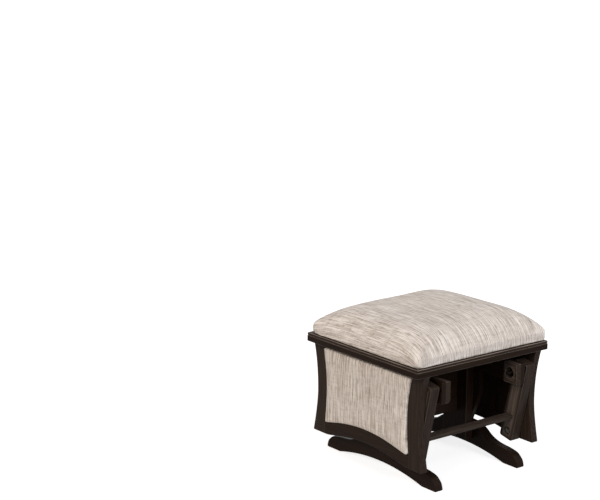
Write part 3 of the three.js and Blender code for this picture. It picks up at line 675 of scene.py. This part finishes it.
def border(index):
    """Point numbers round a table, anticlockwise where columns run along X and rows along Y."""
    return np.concatenate([index[0, :-1], index[:-1, -1], index[-1, :0:-1], index[:0:-1, 0]])


def run_lengths(points, axis):
    """Length along each row or column of a table of points, counted from its middle."""
    steps = np.linalg.norm(np.diff(points, axis=axis), axis=-1)
    run = np.concatenate([np.zeros_like(steps.take([0], axis)), np.cumsum(steps, axis)], axis)
    return run - run.take([run.shape[axis] // 2], axis)


def ring_normals(ring):
    """Outward level normals of rings of points, from each point's two neighbours."""
    ahead = np.roll(ring, -1, 1) - np.roll(ring, 1, 1)
    normal = np.stack([ahead[..., 1], -ahead[..., 0], np.zeros(ring.shape[:2])], -1)
    return normal / np.linalg.norm(normal, axis=-1, keepdims=True)


def cushion_shape(sizes, cells=56):
    """The crown is a table over u and v: with c = (1 - |u|^n)^m for each, the height over the side is
    (c1^-k + c2^-k - 1)^(-1/k) of the full rise, and rise, side and corners lean with u - v. Under it
    rings go down an upright side, roll in over the lip in a quarter ellipse and end at a flat
    underside. Puckers are sums of sines of the way round, fading with height. Also gives the place of
    each point in the cloth, as lengths along the two yarns."""
    u, v = np.meshgrid(towards_ends(cells), towards_ends(cells))
    corner = sizes.cushion_corner / MM + CORNER_LEAN * (u - v)
    x, y = rounded_plan(u, v, CUSHION_HALF, corner)
    k = CROWN_CORNER_POWER
    slopes = [(1 - np.abs(share * CROWN_EDGE) ** n) ** (-m * k)
              for share, n, m in zip((u, v), CROWN_POWERS, CROWN_ROOTS)]
    share = (slopes[0] + slopes[1] - 1) ** (-1 / k)
    wall = CUSHION_WALL + WALL_LEAN * (u - v)
    lean = sizes.crown_lean / MM * (u - v)
    unevenness = (np.sin(x / 41 + 0.8) * np.sin(y / 53 + 2.1) + 0.6 * np.sin(x / 23 - y / 31 + 1.3)) * 0.5
    z = LIP_TOP + wall + (sizes.crown / MM - wall + lean + unevenness) * share
    top = np.stack([x, y, z], -1)
    index = np.arange(u.size).reshape(u.shape)
    edge = border(index)
    edge_points = top.reshape(-1, 3)[edge]

    bend = np.radians(np.linspace(90, 0, 9))
    heights = np.concatenate([
        [CUSHION_UNDER - LIP_TOP, -0.4], 0.6 + (CUSHION_ROLL - 0.6) * (1 - np.sin(bend)), [0] * 4])
    climb = np.concatenate([[0] * 11, [0.25, 0.5, 0.73, 0.9]])
    insets = np.concatenate([[SEAT_INSET, SEAT_INSET], ROLL_INSET * (1 - np.cos(bend)),
                             [-0.35, -0.5, -0.4, -0.2]])
    edge_u, edge_v = u.ravel()[edge], v.ravel()[edge]
    edge_wall, edge_corner = wall.ravel()[edge], corner.ravel()[edge]
    heights = np.where(climb[:, None] > 0, CUSHION_ROLL + (edge_wall - CUSHION_ROLL) * climb[:, None],
                       heights[:, None])
    plans = [rounded_plan(edge_u, edge_v, [half - inset for half in CUSHION_HALF], edge_corner)
             for inset in insets]
    side = np.stack([np.stack([*plan, LIP_TOP + height], -1) for plan, height in zip(plans, heights)])
    way = np.cumsum(np.linalg.norm(edge_points - np.roll(edge_points, 1, 0), axis=1))
    turns = way / way[-1] * 2 * np.pi
    waves = (np.sin(turns * 47 + 2 * np.sin(turns * 5)) + 0.7 * np.sin(turns * 31 + 1.1)
             + 0.5 * np.sin(turns * 73 + 3 * np.sin(turns * 3)))
    fade = np.exp(-np.clip(heights, 0, None) / PUCKER_FADE) * (heights > 0)
    from_side = [CUSHION_HALF[i] - np.abs(side[..., i]) for i in (0, 1)]
    crease = np.exp(-((from_side[0] - from_side[1]) / CREASE_WIDTH) ** 2)
    crease = crease * (np.maximum(*from_side) < edge_corner) * (heights > 0)
    push = sizes.pucker / MM * waves[None] * fade - CREASE_DEPTH * crease
    side += ring_normals(side) * push[..., None]

    under = np.stack([*rounded_plan(u, v, [half - SEAT_INSET for half in CUSHION_HALF], corner),
                      np.full(u.shape, CUSHION_UNDER)], -1)
    under_index = index.size + index
    side_index = 2 * index.size + np.arange(side[1:, :, 0].size).reshape(-1, len(edge))
    rings = np.concatenate([border(under_index)[None], side_index, edge[None]])
    rings = np.concatenate([rings, rings[:, :1]], 1)
    points = np.concatenate([part.reshape(-1, 3) for part in (top, under, side[1:])])
    shape = shape_of(points, grid_faces(index), grid_faces(rings), grid_faces(under_index[:, ::-1]))

    across, along = run_lengths(top, 1), run_lengths(top, 0)
    down = np.concatenate([side, edge_points[None]])
    drop = np.cumsum(np.linalg.norm(np.diff(down, axis=0), axis=-1)[::-1], 0)[::-1]
    on_side = (np.abs(edge_u) > 0.99999)[None]
    side_across = across.ravel()[edge] + drop * np.sign(edge_u) * on_side
    side_along = along.ravel()[edge] + drop * np.sign(edge_v) * ~on_side
    cloth = np.stack([np.concatenate([across.ravel(), under[..., 0].ravel(), side_across[1:].ravel()]),
                      np.concatenate([along.ravel(), under[..., 1].ravel(), side_along[1:].ravel()]),
                      np.zeros(len(points))], -1)
    return shape, cloth


def inflated(made, held, pressure, limit):
    """Cloth simulation of a soft piece: its points, but for those held, move under inner pressure for
    some frames, none of them further than the limit."""
    made.vertex_groups.new(name="held").add(held.tolist(), 1.0, "REPLACE")
    cloth = made.modifiers.new("cloth", "CLOTH")
    cloth.settings.vertex_group_mass = "held"
    cloth.settings.use_pressure = True
    cloth.settings.uniform_pressure_force = pressure
    cloth.settings.tension_stiffness = cloth.settings.compression_stiffness = CLOTH_STIFFNESS
    cloth.settings.effector_weights.gravity = 0
    cloth.point_cache.frame_start, cloth.point_cache.frame_end = 1, CLOTH_FRAMES
    for number in range(1, CLOTH_FRAMES + 1):
        bpy.context.scene.frame_set(number)
    blown = made.evaluated_get(bpy.context.evaluated_depsgraph_get())
    start = points_of(made.data)
    move = points_of(blown.data) - start
    size = np.linalg.norm(move, axis=1)[:, None]
    move *= np.minimum(1, limit * MM / np.maximum(size, 1e-9))
    made.modifiers.remove(cloth)
    made.vertex_groups.clear()
    bpy.context.scene.frame_set(1)
    made.data.vertices.foreach_set("co", (start + move).astype(np.float32).ravel())
    made.data.update()


def subdivided(made):
    """The piece with one level of subdivision, the same on screen and in a render."""
    finer = made.modifiers.new("finer", "SUBSURF")
    finer.levels = finer.render_levels = 1
    return made


class OTTOMAN_OT_cushion(bpy.types.Operator):
    """Crowned seat cushion, its cloth drawn down inside the frame's lip"""

    bl_idname = "ottoman.cushion"
    bl_label = "Cushion"

    def execute(self, context):
        shape, cloth = cushion_shape(context.scene.ottoman_sizes)
        made = piece("visible_cushion", shape, woven_cloth(), "seat", "fabric", "seat_cushion",
                     sharp=CLOTH_SHARP)
        add_vectors(made.data, "cloth", cloth * MM)
        inflated(made, np.flatnonzero(shape[0][:, 2] < HELD_HEIGHT), CUSHION_PRESSURE, CUSHION_REACH)
        subdivided(made)
        return {"FINISHED"}


def stile_shape(sizes):
    """A stile is the board between the panel's waisted outer edge and the window's waisted edge."""
    corner = sizes.board_corner / MM
    up = np.linspace(PANEL_UNDER, PANEL_TOP, 41)
    down = np.linspace(PANEL_TOP, WINDOW_FOOT, 33)
    outer = np.stack([stile_outer(up), up], -1)
    inner = np.stack([window_half(down), down], -1)
    foot = [inner[-1], (WINDOW_FOOT_HALF, PANEL_UNDER)]
    ring = outline((outer, 0), ([outer[-1], inner[0]], 0), (inner, 0), (foot, 0),
                   ([foot[-1], outer[0]], corner))
    return board(ring, PANEL_INNER, PANEL_OUTER - PANEL_INNER, sizes.board_round / MM,
                 [(0, WINDOW_FOOT_HALF)])


def bottom_rail_shape(sizes):
    """A bottom rail is the board between the panel's lower arch and the window's foot arch, bored for
    bolts."""
    half = WINDOW_FOOT_HALF - GLUE_GAP
    y = np.linspace(-PANEL_ARCH_HALF, PANEL_ARCH_HALF, 61)
    under = np.concatenate([[(-half, PANEL_UNDER)], np.stack([y, panel_arch(y)], -1),
                            [(half, PANEL_UNDER)]])
    y = np.linspace(half, -half, 61)
    over = np.stack([y, window_foot(y)], -1)
    ring = outline((under, 0), ([under[-1], over[0]], 0), (over, 0), ([over[-1], under[0]], 0))
    rail = board(ring, PANEL_INNER, PANEL_OUTER - PANEL_INNER, sizes.board_round / MM,
                 [(0, half), (0, -half)])
    ends = [PANEL_INNER - 1, PANEL_INNER + HOLD_DEPTH + FIT_GAP]
    return bored(rail, *[turned(ends, [BOLT_RADIUS + RUN_GAP] * 2, LOWER_PIVOT * (s, 1)) for s in (-1, 1)])


def backing_shape():
    """The backing fills the window: waisted edges, a straight top and the foot's arch."""
    top, low = WINDOW_TOP - FIT_GAP, WINDOW_FOOT + FIT_GAP
    z = np.linspace(low, top, 31)
    right = np.stack([window_half(z) - FIT_GAP, z], -1)
    left = (right * (-1, 1))[::-1]
    y = np.linspace(left[-1, 0], right[0, 0], 41)
    under = np.stack([y, window_foot(y) + FIT_GAP], -1)
    ring = outline((under, 0), (right, 0), ([right[-1], left[0]], 0), (left, 0))
    return board(ring, BACKING_INNER, BACKING_THICKNESS, BACKING_ROUND)


class OTTOMAN_OT_side_panels(bpy.types.Operator):
    """Hourglass stiles, arched bottom rails, head rails and backing boards of both sides"""

    bl_idname = "ottoman.side_panels"
    bl_label = "Side panels"

    def execute(self, context):
        sizes = context.scene.ottoman_sizes
        head_half = WINDOW_TOP_HALF - FIT_GAP
        head = block((-head_half, WINDOW_TOP), (head_half, PANEL_TOP), PANEL_INNER,
                     PANEL_OUTER - PANEL_INNER, 0, sizes.board_round / MM)
        stile, rail, backing = stile_shape(sizes), bottom_rail_shape(sizes), backing_shape()
        for side, x in SIDES:
            for end, y in ENDS:
                # Stiles and bottom rails lifted a little in colour: painted light
                wooden(f"panel_stile_{end}_{side}", moved(stile, (x, y, 1)), "seat", (0, 0, 1), painted_light=0.07)
            wooden(f"panel_bottom_rail_{side}", moved(rail, (x, 1, 1)), "seat", (0, 1, 0), painted_light=0.03)
            wooden(f"panel_head_rail_{side}", moved(head, (x, 1, 1)), "seat", (0, 1, 0))
            wooden(f"panel_backing_{side}", moved(backing, (x, 1, 1)), "seat", (0, 0, 1))
        return {"FINISHED"}


def pad_shape(sizes, cells=44):
    """A pad is a table over u and v in its window: it swells by (1 - u^4)(1 - v^4) of its crown, and
    towards its edge rolls back in a quarter circle. The same table laid flat is its back."""
    corner, roll, crown = PAD_CORNER, sizes.pad_roll / MM, sizes.pad_crown / MM
    halves = (WINDOW_WAIST_HALF, (WINDOW_TOP - WINDOW_FOOT) / 2)
    share_y, share_z = np.meshgrid(towards_ends(cells), towards_ends(cells))
    u, v = rounded_plan(share_y, share_z, halves, corner)
    u, v = u / halves[0], v / halves[1]
    lowest = window_foot(u * WINDOW_WAIST_HALF) + CLOTH_GAP
    z = lowest + (WINDOW_TOP - CLOTH_GAP - lowest) * (v + 1) / 2
    y = u * (window_half(z) - CLOTH_GAP)
    near = [np.clip((1 - np.abs(s)) * half / roll, 0, 1) for s, half in zip((share_y, share_z), halves)]
    rolled = np.prod([np.sqrt(1 - (1 - n) ** 2) for n in near], axis=0)
    unevenness = 0.25 * (np.sin(y / 17 + 0.4) * np.sin(z / 29) + np.sin(y / 31 - z / 23))
    swell = crown * (1 - share_y ** 4) * (1 - share_z ** 4) + unevenness * rolled
    x = PAD_EDGE - roll * (1 - rolled) + swell
    front = np.stack([x, y, z], -1)
    index = np.arange(x.size).reshape(x.shape)
    back_index = index.size + index
    rings = np.stack([border(back_index), border(index)])
    rings = np.concatenate([rings, rings[:, :1]], 1)
    points = np.concatenate([front.reshape(-1, 3), front.reshape(-1, 3) * (0, 1, 1) + (PAD_BACK, 0, 0)])
    shape = shape_of(points, grid_faces(index), grid_faces(rings), grid_faces(back_index[:, ::-1]))
    cloth = np.stack([points[:, 1], points[:, 2] + 3 * np.sin(points[:, 1] / 60), np.zeros(len(points))], -1)
    return shape, cloth


class OTTOMAN_OT_side_pads(bpy.types.Operator):
    """Padded cloth panels in the windows of both sides"""

    bl_idname = "ottoman.side_pads"
    bl_label = "Side pads"

    def execute(self, context):
        shape, cloth = pad_shape(context.scene.ottoman_sizes)
        for side, x in SIDES:
            made = piece(f"visible_side_pad_{side}", moved(shape, (x, 1, 1)), woven_cloth(), "seat",
                         "fabric", f"side_pad_{side}", sharp=CLOTH_SHARP)
            add_vectors(made.data, "cloth", (cloth + (400 * x, 700, 0)) * MM)
            inflated(made, np.flatnonzero(shape[0][:, 0] < PAD_HELD), PAD_PRESSURE, PAD_REACH)
            subdivided(made)
        return {"FINISHED"}


# Links

def arm_axes():
    """Unit directions down a rear arm and across it, and the distance between its pivots."""
    down = LOWER_PIVOT - UPPER_PIVOT
    span = np.linalg.norm(down)
    down = down / span
    return down, np.array([-down[1], down[0]]), span


def arm_shape(sizes, lower_gap):
    """A swing arm is a leaning board with round corners, bored at both pivots: a pocket for a bush on
    the side that turns, a pocket for a bolt's head on the other."""
    down, across, span = arm_axes()
    top, foot, half = -ARM_TOP_REACH, span + ARM_FOOT_REACH, ARM_WIDTH / 2
    ends = [(top, -half), (foot, -half), (foot, half), (top, half)]
    corners = [UPPER_PIVOT + down * d + across * a for d, a in ends]
    arm = board(polygon(corners, ARM_CORNER), ARM_INNER, ARM_OUTER - ARM_INNER, sizes.board_round / MM)
    pocket, bush = POCKET_RADIUS + FIT_GAP, BUSH_DEPTH + FIT_GAP

    def stepped(inner_depth, outer_depth, shank, pivot):
        steps = [ARM_INNER - 1, ARM_INNER + inner_depth, ARM_INNER + inner_depth,
                 ARM_OUTER - outer_depth, ARM_OUTER - outer_depth, ARM_OUTER + 1]
        return turned(steps, [pocket, pocket, shank, shank, pocket, pocket], pivot)

    shank = BOLT_RADIUS + SHANK_GAP
    return bored(arm, stepped(bush, HEAD_POCKET, shank, UPPER_PIVOT),
                 stepped(HEAD_POCKET, bush, shank + lower_gap, LOWER_PIVOT))


def link_rail_shape():
    """A link's cross rail is a narrow board set along the arms, on the line between the pivots."""
    down, across, span = arm_axes()
    middle = UPPER_PIVOT + down * span * LINK_SHARE
    half = ARM_INNER - FIT_GAP
    ends = [(-1, -1), (1, -1), (1, 1), (-1, 1)]
    corners = [middle + down * d * LINK_THICKNESS / 2 + across * a * LINK_DEPTH / 2 for d, a in ends]
    return board(polygon(corners, LINK_CORNER), -half, half * 2, LINK_ROUND)


class OTTOMAN_OT_swing_links(bpy.types.Operator):
    """Four swing arms and the rails that tie them in pairs"""

    bl_idname = "ottoman.swing_links"
    bl_label = "Swing links"

    def execute(self, context):
        sizes = context.scene.ottoman_sizes
        down = arm_axes()[0]
        rail = link_rail_shape()
        for end, y in ENDS:
            body = f"{end}_link"
            arm = arm_shape(sizes, OPEN_GAP if end == "rear" else RUN_GAP)
            for side, x in SIDES:
                # Arms and link rails lifted in colour as painted light, with painted highlight and some wear
                # on their edges
                wooden(f"arm_{end}_{side}", moved(arm, (x, y, 1)), body, (0, down[0] * y, down[1]),
                       painted_light=0.09, edge_light_and_wear=0.5)
            wooden(f"link_rail_{end}", moved(rail, (1, y, 1)), body, (1, 0, 0), painted_light=0.14, edge_light_and_wear=0.3)
        return {"FINISHED"}


def hexagon(radius, sides=36):
    """Radius of a hexagon round the turn: its half width over the cosine of the angle from the nearest
    flat."""
    angle = np.arange(sides) / sides * 360
    return radius * math.cos(math.pi / 6) / np.cos(np.radians((angle + 30) % 60 - 30))


def bolt_shape(tail, seat, pivot, threaded, sides=36):
    """A bolt with its tail at low X and its head at high X. The thread's radius falls by its depth times
    (1 + cos(turns along less turns round)) / 2, and the head's corners are cut by a cone."""
    angle = np.arange(sides) / sides
    rows = np.linspace(tail + 0.8, tail + threaded, int(threaded / THREAD_PITCH * 5) + 1)[:, None]
    wave = (1 + np.cos(2 * np.pi * (rows / THREAD_PITCH - angle))) / 2
    fade = np.clip((tail + threaded - rows) / 3, 0, 1)
    thread = BOLT_RADIUS - THREAD_DEPTH * wave * fade
    head, rim = hexagon(HEAD_RADIUS, sides), HEAD_RADIUS * RIM_SHARE
    top = seat + HEAD_HEIGHT
    flat = [np.full(sides, value) for value in (tail, seat, seat, top)]
    x = np.stack([flat[0], *np.broadcast_to(rows, thread.shape), flat[1], flat[2],
                  top - (head - rim) * RIM_SLOPE, flat[3]])
    whole = np.full(sides, BOLT_RADIUS)
    radius = np.stack([whole - 1, *thread, whole, head, head, np.full(sides, rim)])
    return turned(x, radius, pivot, sides=sides)


def nut_shape(low, pivot, sides=36):
    """A hexagon nut: both faces' corners are cut by a cone, and its bore is closed to the front ring."""
    head, rim, bore = hexagon(HEAD_RADIUS, sides), HEAD_RADIUS * RIM_SHARE, BOLT_RADIUS + RUN_GAP
    high, slope = low + NUT_HEIGHT, (head - rim) * RIM_SLOPE
    flat = np.ones(sides)
    x = np.stack([flat * low, low + slope, high - slope, flat * high, flat * high, flat * low])
    radius = np.stack([flat * rim, head, head, flat * rim, flat * bore, flat * bore])
    return turned(x, radius, pivot, closed_rows=True, sides=sides)


def bush_shape(low, hub, gap, pivot):
    """A flanged bush with its hub towards low X: a turned ring with small rounds on its rims."""
    bore, high, r = BOLT_RADIUS + gap, low + hub + BUSH_DEPTH, 0.3
    x = [low, low, low + r, low + hub, low + hub, low + hub + r, high - r, high, high]
    radius = [bore, BUSH_HUB - r, BUSH_HUB, BUSH_HUB, POCKET_RADIUS - r, POCKET_RADIUS, POCKET_RADIUS,
              POCKET_RADIUS - r, bore]
    return turned(x, radius, pivot, closed_rows=True)


class OTTOMAN_OT_pivots(bpy.types.Operator):
    """Bushes, bolts and nuts of the eight pivots"""

    bl_idname = "ottoman.pivots"
    bl_label = "Pivots"

    def execute(self, context):
        hanger_outer = RUNNER_INNER + HANGER_THICKNESS
        upper_hub = ARM_INNER - hanger_outer - FIT_GAP
        lower_hub = PANEL_INNER - ARM_OUTER - FIT_GAP
        upper_bush = bush_shape(hanger_outer + FIT_GAP, upper_hub, RUN_GAP, UPPER_PIVOT)
        upper_bolt = bolt_shape(RUNNER_INNER - BOLT_TAIL, ARM_OUTER - HEAD_POCKET + HEAD_GAP, UPPER_PIVOT,
                                UPPER_THREAD)
        upper_nut = nut_shape(RUNNER_INNER - FIT_GAP - NUT_HEIGHT, UPPER_PIVOT)
        turned_back = moved(bolt_shape(-PANEL_INNER - HOLD_DEPTH, -ARM_INNER - HEAD_POCKET + HEAD_GAP,
                                       LOWER_PIVOT, LOWER_THREAD), (-1, 1, 1))
        for end, y in ENDS:
            gap = OPEN_GAP if end == "rear" else RUN_GAP
            lower_bush = moved(bush_shape(-PANEL_INNER + FIT_GAP, lower_hub, gap, LOWER_PIVOT), (-1, 1, 1))
            for side, x in SIDES:
                place, flip = f"{end}_{side}", (x, y, 1)
                for name, shape, body, material, slot in (
                        ("upper_bush", upper_bush, f"{end}_link", moulded_nylon(), "nylon"),
                        ("lower_bush", lower_bush, f"{end}_link", moulded_nylon(), "nylon"),
                        # Upper bolts and nuts take the darker steel: painted shade deep in the blocks
                        ("upper_bolt", upper_bolt, "base", painted_shade_steel(), "steel"),
                        ("upper_nut", upper_nut, "base", painted_shade_steel(), "steel"),
                        ("lower_bolt", turned_back, "seat", plated_steel(), "steel")):
                    piece(f"visible_{name}_{place}", moved(shape, flip), material, body, slot,
                          f"{name}_{place}")
        return {"FINISHED"}


# Base

def runner_shape(sizes):
    """A runner is the board between a smooth curve from toe to crest to toe and flat feet with an arch."""
    toe = np.array(RUNNER_TOP_SHARES) * (RUNNER_HALF, RUNNER_CREST)
    over = smooth_curve(np.concatenate([toe, (toe * (-1, 1))[-2::-1]]), 5)
    y = np.linspace(-RUNNER_FOOT, RUNNER_FOOT, 41)
    arch = RUNNER_ARCH * (1 - (y / RUNNER_FOOT) ** 2)
    under = np.stack([y, arch], -1)
    toes = [over[-1], under[0]], [under[-1], over[0]]
    ring = outline((toes[0], TOE_CORNER), (under, TOE_CORNER), (toes[1], TOE_CORNER), (over, TOE_CORNER))
    return board(ring, RUNNER_INNER, RUNNER_THICKNESS, sizes.board_round / MM * RUNNER_ROUND_SHARE)


def hanger_shape(sizes):
    """A hanger board is a bar on a flared stem; fillets join the stem to the bar."""
    right = smooth_curve([(STEM_FOOT, RUNNER_CREST + FIT_GAP), (STEM_NECK, STEM_NECK_HEIGHT),
                          (STEM_NECK + 2, STEM_NECK_HEIGHT + 35), (STEM_ROOT, HANGER_UNDER)], 6)
    right[:7] = np.linspace(right[0], right[6], 7)
    left = (right * (-1, 1))[::-1]
    half, corner = RUNNER_HALF, sizes.board_corner / MM
    ring = outline(
        ([left[-1], right[0]], 0), (right, STEM_FILLET),
        ([right[-1], (half, HANGER_UNDER)], corner), ([(half, HANGER_UNDER), (half, HANGER_TOP)], corner),
        ([(half, HANGER_TOP), (-half, HANGER_TOP)], corner),
        ([(-half, HANGER_TOP), (-half, HANGER_UNDER)], corner),
        ([(-half, HANGER_UNDER), left[0]], STEM_FILLET), (left, 0))
    bar = board(ring, RUNNER_INNER, HANGER_THICKNESS, HANGER_ROUNDS)
    ends = [RUNNER_INNER - 1, RUNNER_INNER + HANGER_THICKNESS + 1]
    return bored(bar, *[turned(ends, [BOLT_RADIUS + RUN_GAP] * 2, UPPER_PIVOT * (s, 1)) for s in (-1, 1)])


def pivot_block_shape():
    """A pivot block is a short board at the end of the hanger's bar, bored wide for the nut. It is made
    with its length along X and its lower inner edge well rounded, and turned by a quarter."""
    inner, outer = RUNNER_INNER - FIT_GAP - BLOCK_THICKNESS, RUNNER_INNER - GLUE_GAP
    low, high = (-outer, HANGER_UNDER), (-inner, HANGER_TOP)
    ring = outline(([low, (high[0], low[1])], BLOCK_ROUND), ([(high[0], low[1]), high], BLOCK_CORNER),
                   ([high, (low[0], high[1])], 0), ([(low[0], high[1]), low], 0))
    shape = board(ring, RUNNER_HALF - BLOCK_LENGTH, BLOCK_LENGTH, BLOCK_EDGE, [(0, -outer)])
    shape = moved(shape, quarter_turns=1)
    return bored(shape, turned([inner - 1, outer + 1], [BLOCK_BORE] * 2, UPPER_PIVOT, sides=48))


class OTTOMAN_OT_base(bpy.types.Operator):
    """Arched runners, hanger boards, posts, cross board and pivot blocks"""

    bl_idname = "ottoman.base"
    bl_label = "Base"

    def execute(self, context):
        sizes = context.scene.ottoman_sizes
        rounding = sizes.board_round / MM
        post_inner = RUNNER_INNER - FIT_GAP - POST_THICKNESS
        post = block((-POST_HALF, POST_UNDER), (POST_HALF, HANGER_TOP), post_inner, POST_THICKNESS,
                     sizes.board_corner / MM, rounding)
        cross_end = post_inner - FIT_GAP
        cross = block((-CROSS_HALF, CROSS_UNDER), (CROSS_HALF, CROSS_TOP), -cross_end, cross_end * 2,
                      CROSS_CORNER, CROSS_EDGE)
        runner, hanger, pivot_block = runner_shape(sizes), hanger_shape(sizes), pivot_block_shape()
        for side, x in SIDES:
            wooden(f"runner_{side}", moved(runner, (x, 1, 1)), "base", (0, 1, 0))
            wooden(f"hanger_{side}", moved(hanger, (x, 1, 1)), "base", (0, 1, 0))
            # Posts and pivot blocks: painted highlight with some wear on their edges; the blocks also lifted
            # as painted light
            wooden(f"post_{side}", moved(post, (x, 1, 1)), "base", (0, 0, 1), edge_light_and_wear=0.3)
            for end, y in ENDS:
                wooden(f"pivot_block_{end}_{side}", moved(pivot_block, (x, y, 1)), "base", (0, 1, 0),
                       painted_light=0.09, edge_light_and_wear=0.3)
        wooden("cross_board", cross, "base", (1, 0, 0))
        return {"FINISHED"}


# Stage

FOCAL_PIXELS, PHOTO_WIDTH = 1676.286, 600
CAMERA_PLACE = (-2.87063, -3.15212, 1.53717)
CAMERA_AZIMUTH, CAMERA_ELEVATION, CAMERA_ROLL = -37.6662, 12.9681, 0.2836
CAMERA_SHIFT = (0.00739, 0.00368)
SENSOR = 36.0
FLOOR_HALF, FLOOR_GLOW, FLOOR_CAMERA_GLOW, ROOM_GLOW = 40000.0, 0.25, 0.55, 0.35
SOFTBOXES = (("left_softbox", -76, 32, 1.58, 30, "#ffeddb"), ("front_softbox", -2, 34, 1.6, 30, "#f8f9ff"))


def direction(azimuth, elevation):
    """Unit direction towards a place seen at an azimuth and elevation in degrees."""
    a, e = math.radians(azimuth), math.radians(elevation)
    return Vector((math.sin(a) * math.cos(e), -math.cos(a) * math.cos(e), math.sin(e)))


def lamp(name, azimuth, elevation, strength, width, tint):
    """A far broad lamp: light from an azimuth and elevation, as wide in degrees as a studio softbox
    looks."""
    data = bpy.data.lights.new(name, "SUN")
    data.energy, data.angle, data.color = strength, math.radians(width), linear(tint)[:3]
    made = bpy.data.objects.new(name, data)
    back = direction(azimuth, elevation)
    made.rotation_euler = back.to_track_quat("Z", "Y").to_euler()
    made.location = back * 3
    bpy.context.scene.collection.objects.link(made)


def seen_share(tree):
    """One for camera, glossy and transmission rays, which see the white background, and nothing for
    others."""
    seen = 0.0
    for kind in ("Is Camera Ray", "Is Glossy Ray", "Is Transmission Ray"):
        ray = add(tree, "ShaderNodeLightPath", out=kind)
        seen = add(tree, "ShaderNodeMath", (seen, ray), operation="MAXIMUM")
    return seen


class OTTOMAN_OT_stage(bpy.types.Operator):
    """Pale studio floor, white background, soft lamps and the camera"""

    bl_idname = "ottoman.stage"
    bl_label = "Stage"

    def execute(self, context):
        scene = context.scene
        floor_mesh = mesh_of("studio_floor", shape_of(
            np.array([(-1, -1, 0), (1, -1, 0), (-1, 1, 0), (1, 1, 0)]) * FLOOR_HALF,
            grid_faces(np.arange(4).reshape(2, 2))))
        floor = bpy.data.objects.new("studio_floor", floor_mesh)
        scene.collection.objects.link(floor)

        def painted(tree, colours):
            matt = add(tree, "ShaderNodeBsdfDiffuse", {"Color": tuple(colours.floor)})
            ray = add(tree, "ShaderNodeLightPath", out="Is Camera Ray")
            direct = add(tree, "ShaderNodeMath", (ray, FLOOR_CAMERA_GLOW), operation="MULTIPLY")
            share = add(tree, "ShaderNodeMath", (seen_share(tree), FLOOR_GLOW, direct),
                        operation="MULTIPLY_ADD")
            glow = add(tree, "ShaderNodeEmission", {"Color": linear("#ffffff"), "Strength": share})
            return add(tree, "ShaderNodeAddShader", (matt, glow))

        floor.data.materials.append(finish("white_painted_studio_floor", painted))

        world = bpy.data.worlds.new("studio")
        world.use_nodes = True
        tree = world.node_tree
        tree.nodes.clear()
        white = add(tree, "ShaderNodeBackground", {"Color": linear("#ffffff"), "Strength": 1.0})
        room = add(tree, "ShaderNodeBackground", {"Color": linear("#f4f6fa"), "Strength": ROOM_GLOW})
        sky = add(tree, "ShaderNodeMixShader", (seen_share(tree), room, white))
        add(tree, "ShaderNodeOutputWorld", {"Surface": sky})
        scene.world = world

        for softbox in SOFTBOXES:
            lamp(*softbox)

        data = bpy.data.cameras.new("photo_view")
        data.sensor_fit, data.sensor_width = "HORIZONTAL", SENSOR
        data.lens = FOCAL_PIXELS / PHOTO_WIDTH * SENSOR
        data.shift_x, data.shift_y = CAMERA_SHIFT
        data.dof.use_dof = False
        data.clip_end = 200
        camera = bpy.data.objects.new("photo_view", data)
        a, r = math.radians(CAMERA_AZIMUTH), math.radians(CAMERA_ROLL)
        back = direction(CAMERA_AZIMUTH, CAMERA_ELEVATION)
        level = Vector((math.cos(a), math.sin(a), 0))
        upright = back.cross(level)
        right = level * math.cos(r) + upright * math.sin(r)
        up = upright * math.cos(r) - level * math.sin(r)
        turn = Matrix((right, up, back)).transposed()
        camera.matrix_world = Matrix.Translation(CAMERA_PLACE) @ turn.to_4x4()
        scene.collection.objects.link(camera)
        scene.camera = camera
        scene.view_settings.view_transform = "Standard"
        return {"FINISHED"}


# Add-on

class OTTOMAN_PT_sidebar(bpy.types.Panel):
    bl_label = "Glider ottoman"
    bl_idname = "OTTOMAN_PT_sidebar"
    bl_space_type = "VIEW_3D"
    bl_region_type = "UI"
    bl_category = "Ottoman"

    def draw(self, context):
        for group in (context.scene.ottoman_sizes, context.scene.ottoman_colours):
            box = self.layout.box()
            for name in group.bl_rna.properties.keys():
                if name not in {"rna_type", "name"}:
                    box.prop(group, name)
        for operator in OPERATORS:
            self.layout.operator(operator.bl_idname)


OPERATORS = (
    OTTOMAN_OT_stage, OTTOMAN_OT_seat_frame, OTTOMAN_OT_seat_board, OTTOMAN_OT_cushion,
    OTTOMAN_OT_side_panels, OTTOMAN_OT_side_pads, OTTOMAN_OT_swing_links, OTTOMAN_OT_pivots,
    OTTOMAN_OT_base,
)
CLASSES = (OttomanSizes, OttomanColours, *OPERATORS, OTTOMAN_PT_sidebar)


def register():
    for item in CLASSES:
        bpy.utils.register_class(item)
    bpy.types.Scene.ottoman_sizes = bpy.props.PointerProperty(type=OttomanSizes)
    bpy.types.Scene.ottoman_colours = bpy.props.PointerProperty(type=OttomanColours)


def unregister():
    del bpy.types.Scene.ottoman_colours
    del bpy.types.Scene.ottoman_sizes
    for item in reversed(CLASSES):
        bpy.utils.unregister_class(item)


def main():
    register()
    for operator in OPERATORS:
        getattr(bpy.ops.ottoman, operator.bl_idname.split(".")[1])()


if __name__ == "__main__":
    main()
